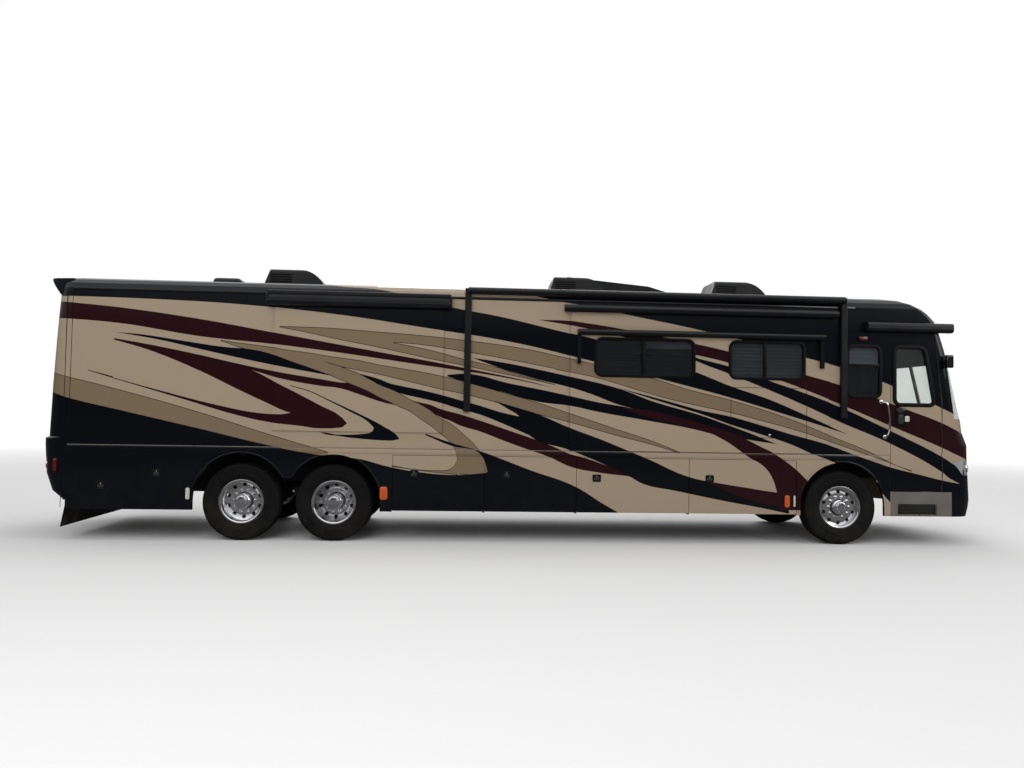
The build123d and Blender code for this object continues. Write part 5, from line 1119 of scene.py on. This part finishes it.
class MOTORHOME_OT_tyres(bpy.types.Operator):
    """Make the tyres with their tread"""
    bl_idname = "motorhome.tyres"
    bl_label = "Tyres"
    steps = 120

    def execute(self, context):
        for name, x, sense, disc, hub, centres in WHEELS:
            shape = Shape(f"tyre_tread_{name}", f"wheel_{name}", "tyre", "tyre_rubber")
            for centre in centres:
                shape.add(place_shape(self.tyre(), x, sense * centre, AXLE_Z))
            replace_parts(shape.make(50.0), f"tyre_{name}")
        return {"FINISHED"}

    def tyre(self):
        """One tyre about the Y axis, with notched shoulders."""
        section = TYRE_SECTION + tuple((-w, r) for w, r in reversed(TYRE_SECTION))
        bm = turned(section, self.steps)
        notched = []
        for face in bm.faces:
            centre = face.calc_center_median()
            reach = math.hypot(centre.x, centre.z)
            step = int((math.atan2(centre.x, centre.z) + math.pi) / (2 * math.pi) * self.steps)
            if 0.1165 < abs(centre.y) < 0.131 and 0.48 < reach < 0.506 and step % 3 == 0:
                notched.append(face)
        bmesh.ops.inset_region(bm, faces=notched, thickness=0.0025, depth=-0.007, use_even_offset=True)
        return bm


class MOTORHOME_OT_wheel_nuts(bpy.types.Operator):
    """Make the wheel nuts, the hub caps, the rim lips and the brake drums"""
    bl_idname = "motorhome.wheel_nuts"
    bl_label = "Wheel nuts"
    count = 10
    bolts = 8
    bolt_circle = 0.066

    def execute(self, context):
        radius = context.scene.motorhome.sizes.nut_circle
        for name, x, sense, disc, hub, centres in WHEELS:
            shape = Shape(f"wheel_nuts_{name}", f"wheel_{name}", "rim", "chrome", "chassis_black")
            face = WHEEL_Y + disc
            end = WHEEL_Y + hub

            def put(bm, out, material=0, reach=0.0, angle=0.0):
                place_shape(bm, x + reach * math.cos(angle), sense * out, AXLE_Z + reach * math.sin(angle),
                            flip=sense < 0)
                shape.add(bm, material)

            put(turned(((-0.004, 0.0), (-0.004, 0.078), (0.004, 0.078), (0.008, 0.073), (0.008, 0.058),
                        (0.012, 0.054), (0.014, 0.03), (0.014, 0.0)), 40, False), end)
            put(turned(((-0.004, 0.268), (0.001, 0.268), (0.006, 0.274), (0.008, 0.284), (0.006, 0.293),
                        (0.0, 0.2975), (-0.004, 0.2975)), 72), WHEEL_Y + RIM_HALF_W)
            put(turned(((-0.03, 0.11), (-0.03, 0.236), (-0.036, 0.242), (-0.13, 0.242), (-0.13, 0.11)), 48),
                face, 1)
            put(turned(((0.0, 0.107), (0.0, 0.118), (0.003, 0.118), (0.003, 0.107)), 48), face, 1)
            for index in range(self.bolts):
                bolt = turned(((0.0, 0.0), (0.0, 0.009), (0.007, 0.009), (0.009, 0.007), (0.009, 0.0)), 6,
                              False)
                put(bolt, end + 0.007, 0, self.bolt_circle, 2 * math.pi * (index + 0.5) / self.bolts)
            for index in range(self.count):
                put(self.nut(), face, 0, radius, 2 * math.pi * index / self.count)
            shape.make()
        return {"FINISHED"}

    def nut(self):
        """Flanged six-sided nut with a domed cap."""
        flange = turned(((0.0, 0.0), (0.0, 0.023), (0.005, 0.023), (0.008, 0.019), (0.008, 0.0)), 16, False)
        bm = bmesh.new()
        bmesh.ops.create_cone(bm, cap_ends=True, segments=6, radius1=0.0185, radius2=0.0175, depth=0.026)
        bmesh.ops.rotate(bm, cent=(0, 0, 0), matrix=Matrix.Rotation(-math.pi / 2, 3, "X"), verts=bm.verts[:])
        bmesh.ops.translate(bm, vec=(0, 0.019, 0), verts=bm.verts[:])
        return join(flange, soften(bm, 0.003, 2))


class MOTORHOME_OT_shades(bpy.types.Operator):
    """Make the pleated shades behind the windows and the drawn curtain"""
    bl_idname = "motorhome.shades"
    bl_label = "Shades"
    pleat = 0.024
    depth = 0.007

    def execute(self, context):
        for name, body, cloth, y, x0, x1, z0, z1 in SHADES:
            shape = Shape(name, body, "trim", cloth)
            count = round((z1 - z0) / self.pleat)
            drop = (z1 - z0) / count
            bm = bmesh.new()
            verts = [bm.verts.new((x0, y + self.depth * (index % 2), z1 - drop * index))
                     for index in range(count + 1)]
            edges = [bm.edges.new(pair) for pair in zip(verts, verts[1:])]
            grown = bmesh.ops.extrude_edge_only(bm, edges=edges)
            moved = [item for item in grown["geom"] if isinstance(item, bmesh.types.BMVert)]
            bmesh.ops.translate(bm, vec=(x1 - x0, 0.0, 0.0), verts=moved)
            bmesh.ops.recalc_face_normals(bm, faces=bm.faces[:])
            bmesh.ops.solidify(bm, geom=bm.faces[:], thickness=0.0008)
            shape.add(bm)
            made = shape.make(20.0)
        self.curtain()
        return {"FINISHED"}

    def curtain(self):
        """Drawn curtain at the driver's end of the windscreen, in near-black cloth as painted shade."""
        low, high = 1.76, 2.9
        fold = 0.03
        route = [Vector(place) for place in ((5.88, 0.42), (5.84, 0.75), (5.78, 0.98), (5.62, 1.14))]
        places = []
        for start, stop in zip(route, route[1:]):
            across = (stop - start).orthogonal().normalized()
            steps = round((stop - start).length / 0.05)
            places += [start.lerp(stop, step / steps) + across * fold * (step % 2 - 0.5)
                       for step in range(steps)]
        curve = smooth_line("curtain_route", [(*place, (low + high) / 2) for place in places], 6)
        curve.extrude = (high - low) / 2
        bm = curve_mesh(curve)
        length = sum(face.calc_area() for face in bm.faces) / (high - low)
        bmesh.ops.solidify(bm, geom=bm.faces[:], thickness=0.0015)
        made = Shape("privacy_curtain", "coach", "trim", "curtain_cloth").add(bm).make(60.0)


class MOTORHOME_OT_nose(bpy.types.Operator):
    """Make the headlamp lenses, the wipers, the mirror glass and the valance over the windscreen"""
    bl_idname = "motorhome.nose"
    bl_label = "Front fittings"

    def execute(self, context):
        lamps = Shape("headlamp_lenses", "coach", "headlamp", "chrome", "lens_clear")
        wipers = Shape("wipers", "coach", "trim", "seal_rubber", "trim_plastic")
        mirrors = Shape("mirror_glass", "coach", "trim", "chrome")
        for sense in (-1, 1):
            for y, radius in ((0.92, 0.07), (1.08, 0.07), (1.2, 0.045)):
                place, normal = touch("headlamps", (8.0, sense * y, 1.085), (-1, 0, 0))
                lamps.add(face_to(self.bezel(radius), place, normal))
                dome = turned(((-0.004, 0.0), (-0.004, radius * 0.8), (0.004, radius * 0.78),
                               (0.013, radius * 0.5), (0.017, 0.0)), 32, False)
                lamps.add(face_to(dome, place, normal), 1)
            # The wing takes the pale lens finish, a painted reflection of the chrome's shine
            lamps.add(self.wing(sense), 1)
            self.wiper(wipers, sense)
            place, normal = touch("mirrors", (5.0, sense * 1.37, 2.585), (1, 0, 0))
            y0, y1 = sorted((sense * 1.338, sense * 1.4))
            mirrors.add(bar(place.x - 0.003, place.x + 0.002, y0, y1, 2.512, 2.658, 0.002))
        valance = Shape("windscreen_valance", "coach", "trim", "trim_plastic")
        valance.add(bar(5.87, 5.895, -0.93, 0.93, 2.57, 2.9, 0.01))
        valance.add(bar(5.86, 5.905, -0.93, 0.93, 2.555, 2.585, 0.012))
        for shape in (lamps, wipers, mirrors, valance):
            shape.make()
        return {"FINISHED"}

    def wing(self, sense):
        """Pale plate that carries the lamp round the corner, in the lens finish as a painted reflection of
        the chrome.
        """
        bm = bmesh.new()
        corners = []
        for x, z in ((6.0, 1.155), (6.07, 1.17), (6.148, 1.187), (6.148, 1.09), (6.148, 0.99), (6.07, 1.085)):
            place, normal = touch("front_cap", (x, sense * 4.0, z), (0, -sense, 0))
            corners.append(bm.verts.new(place + normal * 0.004))
        bm.faces.new(corners if sense < 0 else corners[::-1])
        bmesh.ops.solidify(bm, geom=bm.faces[:], thickness=0.006)
        bmesh.ops.recalc_face_normals(bm, faces=bm.faces[:])
        return bm

    def bezel(self, radius):
        """Rounded ring that stands round one lamp."""
        return turned(((-0.004, radius), (0.006, radius), (0.010, radius - 0.004), (0.009, radius - 0.009),
                       (-0.002, radius * 0.8), (-0.004, radius * 0.8)), 40)

    def wiper(self, shape, sense):
        """Parked arm and blade a little off the glass."""
        def off(y, z, lift):
            place, normal = touch("windscreen", (8.0, sense * y, z), (-1, 0, 0))
            return place + normal * lift
        pivot = off(0.86, 1.80, 0.0)
        shape.add(tube([off(0.86, 1.80, lift) for lift in (-0.004, 0.012, 0.03)], 0.016), 1)
        shape.add(tube((pivot + Vector((0.03, 0, 0)), off(0.72, 1.84, 0.04), off(0.46, 1.9, 0.03)), 0.008), 1)
        blade = ((0.08, 1.84), (0.3, 1.88), (0.5, 1.91), (0.84, 1.95))
        shape.add(tube([off(y, z, 0.014) for y, z in blade], 0.008), 0)


class MOTORHOME_OT_tail(bpy.types.Operator):
    """Make the rings and lenses of the tail lamps"""
    bl_idname = "motorhome.tail"
    bl_label = "Tail fittings"
    radius = 0.048

    def execute(self, context):
        radius = self.radius
        rings = Shape("tail_lamp_rings", "coach", "tail_lamp", "chrome", "lens_red", "lens_clear")
        for sense in (-1, 1):
            for y, lens in ((1.05, 2), (1.16, 1)):
                place, normal = touch("tail_lamps", (-8.0, sense * y, 0.975), (1, 0, 0))
                rim = turned(((-0.003, radius), (0.004, radius), (0.007, radius - 0.003),
                              (0.004, radius - 0.008), (-0.003, radius - 0.008)), 36)
                rings.add(face_to(rim, place, normal))
                dome = turned(((-0.003, 0.0), (-0.003, radius - 0.009), (0.004, radius - 0.011),
                               (0.009, radius * 0.4), (0.010, 0.0)), 28, False)
                rings.add(face_to(dome, place, normal), lens)
        rings.make()
        return {"FINISHED"}


class MOTORHOME_OT_seats(bpy.types.Operator):
    """Make the cab seats: pedestals, arms, stuffed cushions and stuffed backs"""
    bl_idname = "motorhome.seats"
    bl_label = "Cab seats"
    voxel = 0.012
    swell = 0.022
    seam_out = 0.09
    seam_half = 0.02
    seam_depth = 0.008

    def execute(self, context):
        for side, x, y in SEATS:
            stand = Shape(f"seat_frame_{side}", "coach", "seat", "trim_plastic", "seat_leather")
            stand.add(bar(x - 0.18, x + 0.18, y - 0.18, y + 0.18, SEAT_BASE_Z + 0.002, SEAT_Z - 0.03, 0.02))
            stand.add(bar(x - 0.24, x + 0.24, y - 0.24, y + 0.24, SEAT_Z - 0.03, SEAT_Z + 0.014, 0.012))
            for sense in (-1, 1):
                arm_y = y + sense * 0.285
                stand.add(bar(x - 0.25, x + 0.16, arm_y - 0.033, arm_y + 0.033, SEAT_Z + 0.272,
                              SEAT_Z + 0.338, 0.028), 1)
                stand.add(bar(x - 0.3, x - 0.22, arm_y - 0.025, arm_y - 0.005, SEAT_Z + 0.255,
                              SEAT_Z + 0.355, 0.008))
            made = stand.make()
            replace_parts(made, "cab_seats")
            self.pad(f"seat_cushion_{side}", (x - 0.25, y - 0.25, SEAT_Z + 0.015), (0.5, 0.5, 0.115), 0.0,
                     0.045)
            self.pad(f"seat_back_{side}", (x - 0.255, y - 0.245, SEAT_Z + 0.05), (0.1, 0.49, 0.79), 0.105,
                     0.035)
        return {"FINISHED"}

    def pad(self, name, corner, size, lean, corner_radius):
        """Stuffed pad from a rounded block, swelled as cloth, with sewn channels."""
        shape = Shape(name, "coach", "seat", "seat_leather")
        bm = bmesh.new()
        bmesh.ops.create_cube(bm, size=1.0)
        bmesh.ops.translate(bm, vec=(0.5, 0.5, 0.5), verts=bm.verts[:])
        bmesh.ops.scale(bm, vec=size, verts=bm.verts[:])
        tops = [vert for vert in bm.verts if vert.co.z > size[2] / 2]
        bmesh.ops.translate(bm, vec=(-lean, 0.0, 0.0), verts=tops)
        bmesh.ops.bevel(bm, geom=bm.edges[:], offset=corner_radius, offset_type="OFFSET", segments=3,
                        profile=0.5, affect="EDGES", material=-1)
        bmesh.ops.translate(bm, vec=corner, verts=bm.verts[:])
        shape.add(bm)
        made = shape.make(60.0)
        remesh = made.modifiers.new("even_mesh", "REMESH")
        remesh.mode = "VOXEL"
        remesh.voxel_size = self.voxel
        self.keep(made)
        self.stuff(made)
        middle = corner[1] + size[1] / 2
        for vert in made.data.vertices:
            for seam in (-self.seam_out, self.seam_out):
                gap = abs(vert.co.y - middle - seam)
                if gap < self.seam_half:
                    vert.co -= vert.normal * self.seam_depth * (1.0 - gap / self.seam_half)
        made.data.shade_smooth()
        smooth = made.modifiers.new("smooth", "SUBSURF")
        smooth.levels = smooth.render_levels = 1

    def stuff(self, made):
        """Swell the pad by pressure, each point by a capped distance."""
        scene = bpy.context.scene
        start = [vert.co.copy() for vert in made.data.vertices]
        cloth = made.modifiers.new("stuffing", "CLOTH")
        cloth.settings.use_pressure = True
        cloth.settings.uniform_pressure_force = 4.0
        cloth.settings.effector_weights.gravity = 0.0
        cloth.collision_settings.use_collision = False
        for step in range(1, 21):
            scene.frame_set(step)
        self.keep(made)
        for vert, place in zip(made.data.vertices, start):
            move = vert.co - place
            if move.length > self.swell:
                vert.co = place + move * (self.swell / move.length)
        scene.frame_set(1)

    def keep(self, made):
        """Apply the piece's modifiers to its mesh."""
        seen = made.evaluated_get(bpy.context.evaluated_depsgraph_get())
        mesh = bpy.data.meshes.new_from_object(seen)
        old = made.data
        made.modifiers.clear()
        made.data = mesh
        bpy.data.meshes.remove(old)
        mesh.name = made.name


class MOTORHOME_OT_studio(bpy.types.Operator):
    """Set the floor, the lights, the world and the camera"""
    bl_idname = "motorhome.studio"
    bl_label = "Studio"

    def execute(self, context):
        self.floor()
        self.world(context.scene)
        for name, place, size, power, in_gloss in (("key_light", (-5.0, -15.0, 9.0), 12.0, 1150.0, False),
                                                   ("fill_light", (12.0, -7.0, 6.0), 6.0, 260.0, True),
                                                   ("back_light", (2.0, 13.0, 10.0), 12.0, 900.0, True),
                                                   ("top_light", (0.0, 0.0, 15.0), 14.0, 600.0, False)):
            light = bpy.data.lights.new(name, "AREA")
            light.shape = "DISK"
            light.size = size
            light.energy = power
            lamp = bpy.data.objects.new(name, light)
            context.scene.collection.objects.link(lamp)
            lamp.visible_glossy = in_gloss
            lamp.location = place
            lamp.rotation_mode = "QUATERNION"
            lamp.rotation_quaternion = (Vector((0.0, 0.0, 1.4)) - Vector(place)).to_track_quat("-Z", "Y")
        self.camera(context.scene)
        context.scene.view_settings.view_transform = "Standard"
        return {"FINISHED"}

    def floor(self):
        """Pale floor that fades to white far from the coach."""
        bm = bmesh.new()
        bmesh.ops.create_circle(bm, cap_ends=True, segments=96, radius=120.0)
        mesh = bpy.data.meshes.new("studio_floor")
        bm.to_mesh(mesh)
        bm.free()
        floor = bpy.data.objects.new("studio_floor", mesh)
        bpy.context.scene.collection.objects.link(floor)
        material, tree, shader, place = new_material("studio_floor")
        distance = add_node(tree, "ShaderNodeVectorMath", {0: place.outputs["Object"]}, operation="LENGTH")
        path = tree.nodes.new("ShaderNodeLightPath")
        pale, dim = (0.78, 0.78, 0.78, 1.0), (0.1, 0.1, 0.1, 1.0)
        base = blend_colour(tree, path.outputs["Is Glossy Ray"], pale, dim)
        feed(tree, shader, {"Base Color": base, "Roughness": 0.9, "Specular IOR Level": 0.1})
        glow = add_node(tree, "ShaderNodeEmission", {"Color": (1, 1, 1, 1), "Strength": 1.0})
        fade = ramp(tree, distance.outputs["Value"], 9.0, 30.0)
        far = calc(tree, "MULTIPLY", fade, path.outputs["Is Camera Ray"])
        mixed = add_node(tree, "ShaderNodeMixShader", {0: far, 1: shader.outputs[0], 2: glow.outputs[0]})
        out = next(item for item in tree.nodes if item.type == "OUTPUT_MATERIAL")
        tree.links.new(mixed.outputs[0], out.inputs[0])
        mesh.materials.append(material)

    def world(self, scene):
        """White for the camera; a ceiling light over a dimmer horizon for gloss; even light for the rest."""
        world = bpy.data.worlds.new("studio_world")
        world.use_nodes = True
        scene.world = world
        tree = world.node_tree
        tree.nodes.clear()
        path = tree.nodes.new("ShaderNodeLightPath")
        heading = tree.nodes.new("ShaderNodeTexCoord")
        rise = parts_of(tree, heading.outputs["Generated"])[2]
        horizon = ramp(tree, rise, 0.1, 0.17, 0.05, 0.6)
        gloss = calc(tree, "ADD", horizon, ramp(tree, rise, 0.3, 0.9, 0.0, 0.9))
        seen = calc(tree, "MAXIMUM", path.outputs["Is Camera Ray"], path.outputs["Is Transmission Ray"])
        glossy = path.outputs["Is Glossy Ray"]
        level = add_node(tree, "ShaderNodeMix", {0: glossy, 2: 0.55, 3: gloss}).outputs[0]
        level = add_node(tree, "ShaderNodeMix", {0: seen, 2: level, 3: 1.0}).outputs[0]
        back = add_node(tree, "ShaderNodeBackground", {"Color": (1, 1, 1, 1), "Strength": level})
        out = tree.nodes.new("ShaderNodeOutputWorld")
        tree.links.new(back.outputs[0], out.inputs[0])

    def camera(self, scene):
        """Camera fitted to the photograph's view."""
        yaw, pitch, roll = 0.06337, 0.03696, 0.01695
        ahead = Vector((math.sin(yaw) * math.cos(pitch), math.cos(yaw) * math.cos(pitch), math.sin(pitch)))
        right = Vector((math.cos(yaw), -math.sin(yaw), 0.0))
        up = right.cross(ahead)
        rolled = (right * math.cos(roll) + up * math.sin(roll), up * math.cos(roll) - right * math.sin(roll))
        data = bpy.data.cameras.new("photo_camera")
        data.lens = 28.203
        data.sensor_width = 36.0
        data.sensor_fit = "HORIZONTAL"
        data.clip_end = 500.0
        camera = bpy.data.objects.new("photo_camera", data)
        scene.collection.objects.link(camera)
        turn = Matrix((*rolled, -ahead)).transposed().to_4x4()
        camera.matrix_world = Matrix.Translation((-0.921, -12.1863, 1.7497)) @ turn
        scene.camera = camera


class MOTORHOME_PT_looks(bpy.types.Panel):
    """Lists the steps that dress the motorhome"""
    bl_idname = "MOTORHOME_PT_looks"
    bl_label = "Motorhome looks"
    bl_space_type = "VIEW_3D"
    bl_region_type = "UI"
    bl_category = "Motorhome"

    def draw(self, context):
        looks = context.scene.motorhome
        for group in (looks.colours, looks.sizes):
            for name in group.__annotations__:
                self.layout.prop(group, name)
        for step in STEPS:
            self.layout.operator(step.bl_idname)


STEPS = (
    MOTORHOME_OT_studio,
    MOTORHOME_OT_finishes,
    MOTORHOME_OT_windows,
    MOTORHOME_OT_mouldings,
    MOTORHOME_OT_hatches,
    MOTORHOME_OT_lamps,
    MOTORHOME_OT_entry,
    MOTORHOME_OT_tyres,
    MOTORHOME_OT_wheel_nuts,
    MOTORHOME_OT_shades,
    MOTORHOME_OT_nose,
    MOTORHOME_OT_tail,
    MOTORHOME_OT_seats,
)
CLASSES = (MotorhomeColours, MotorhomeSizes, MotorhomeLooks, *STEPS, MOTORHOME_PT_looks)


def register():
    for item in CLASSES:
        bpy.utils.register_class(item)
    bpy.types.Scene.motorhome = bpy.props.PointerProperty(type=MotorhomeLooks, name="Motorhome",
                                                          description="Settings of the motorhome's looks")


def unregister():
    del bpy.types.Scene.motorhome
    for item in reversed(CLASSES):
        bpy.utils.unregister_class(item)


def main():
    register()
    for step in STEPS:
        group, name = step.bl_idname.split(".")
        getattr(getattr(bpy.ops, group), name)()


if __name__ == "__main__":
    main()
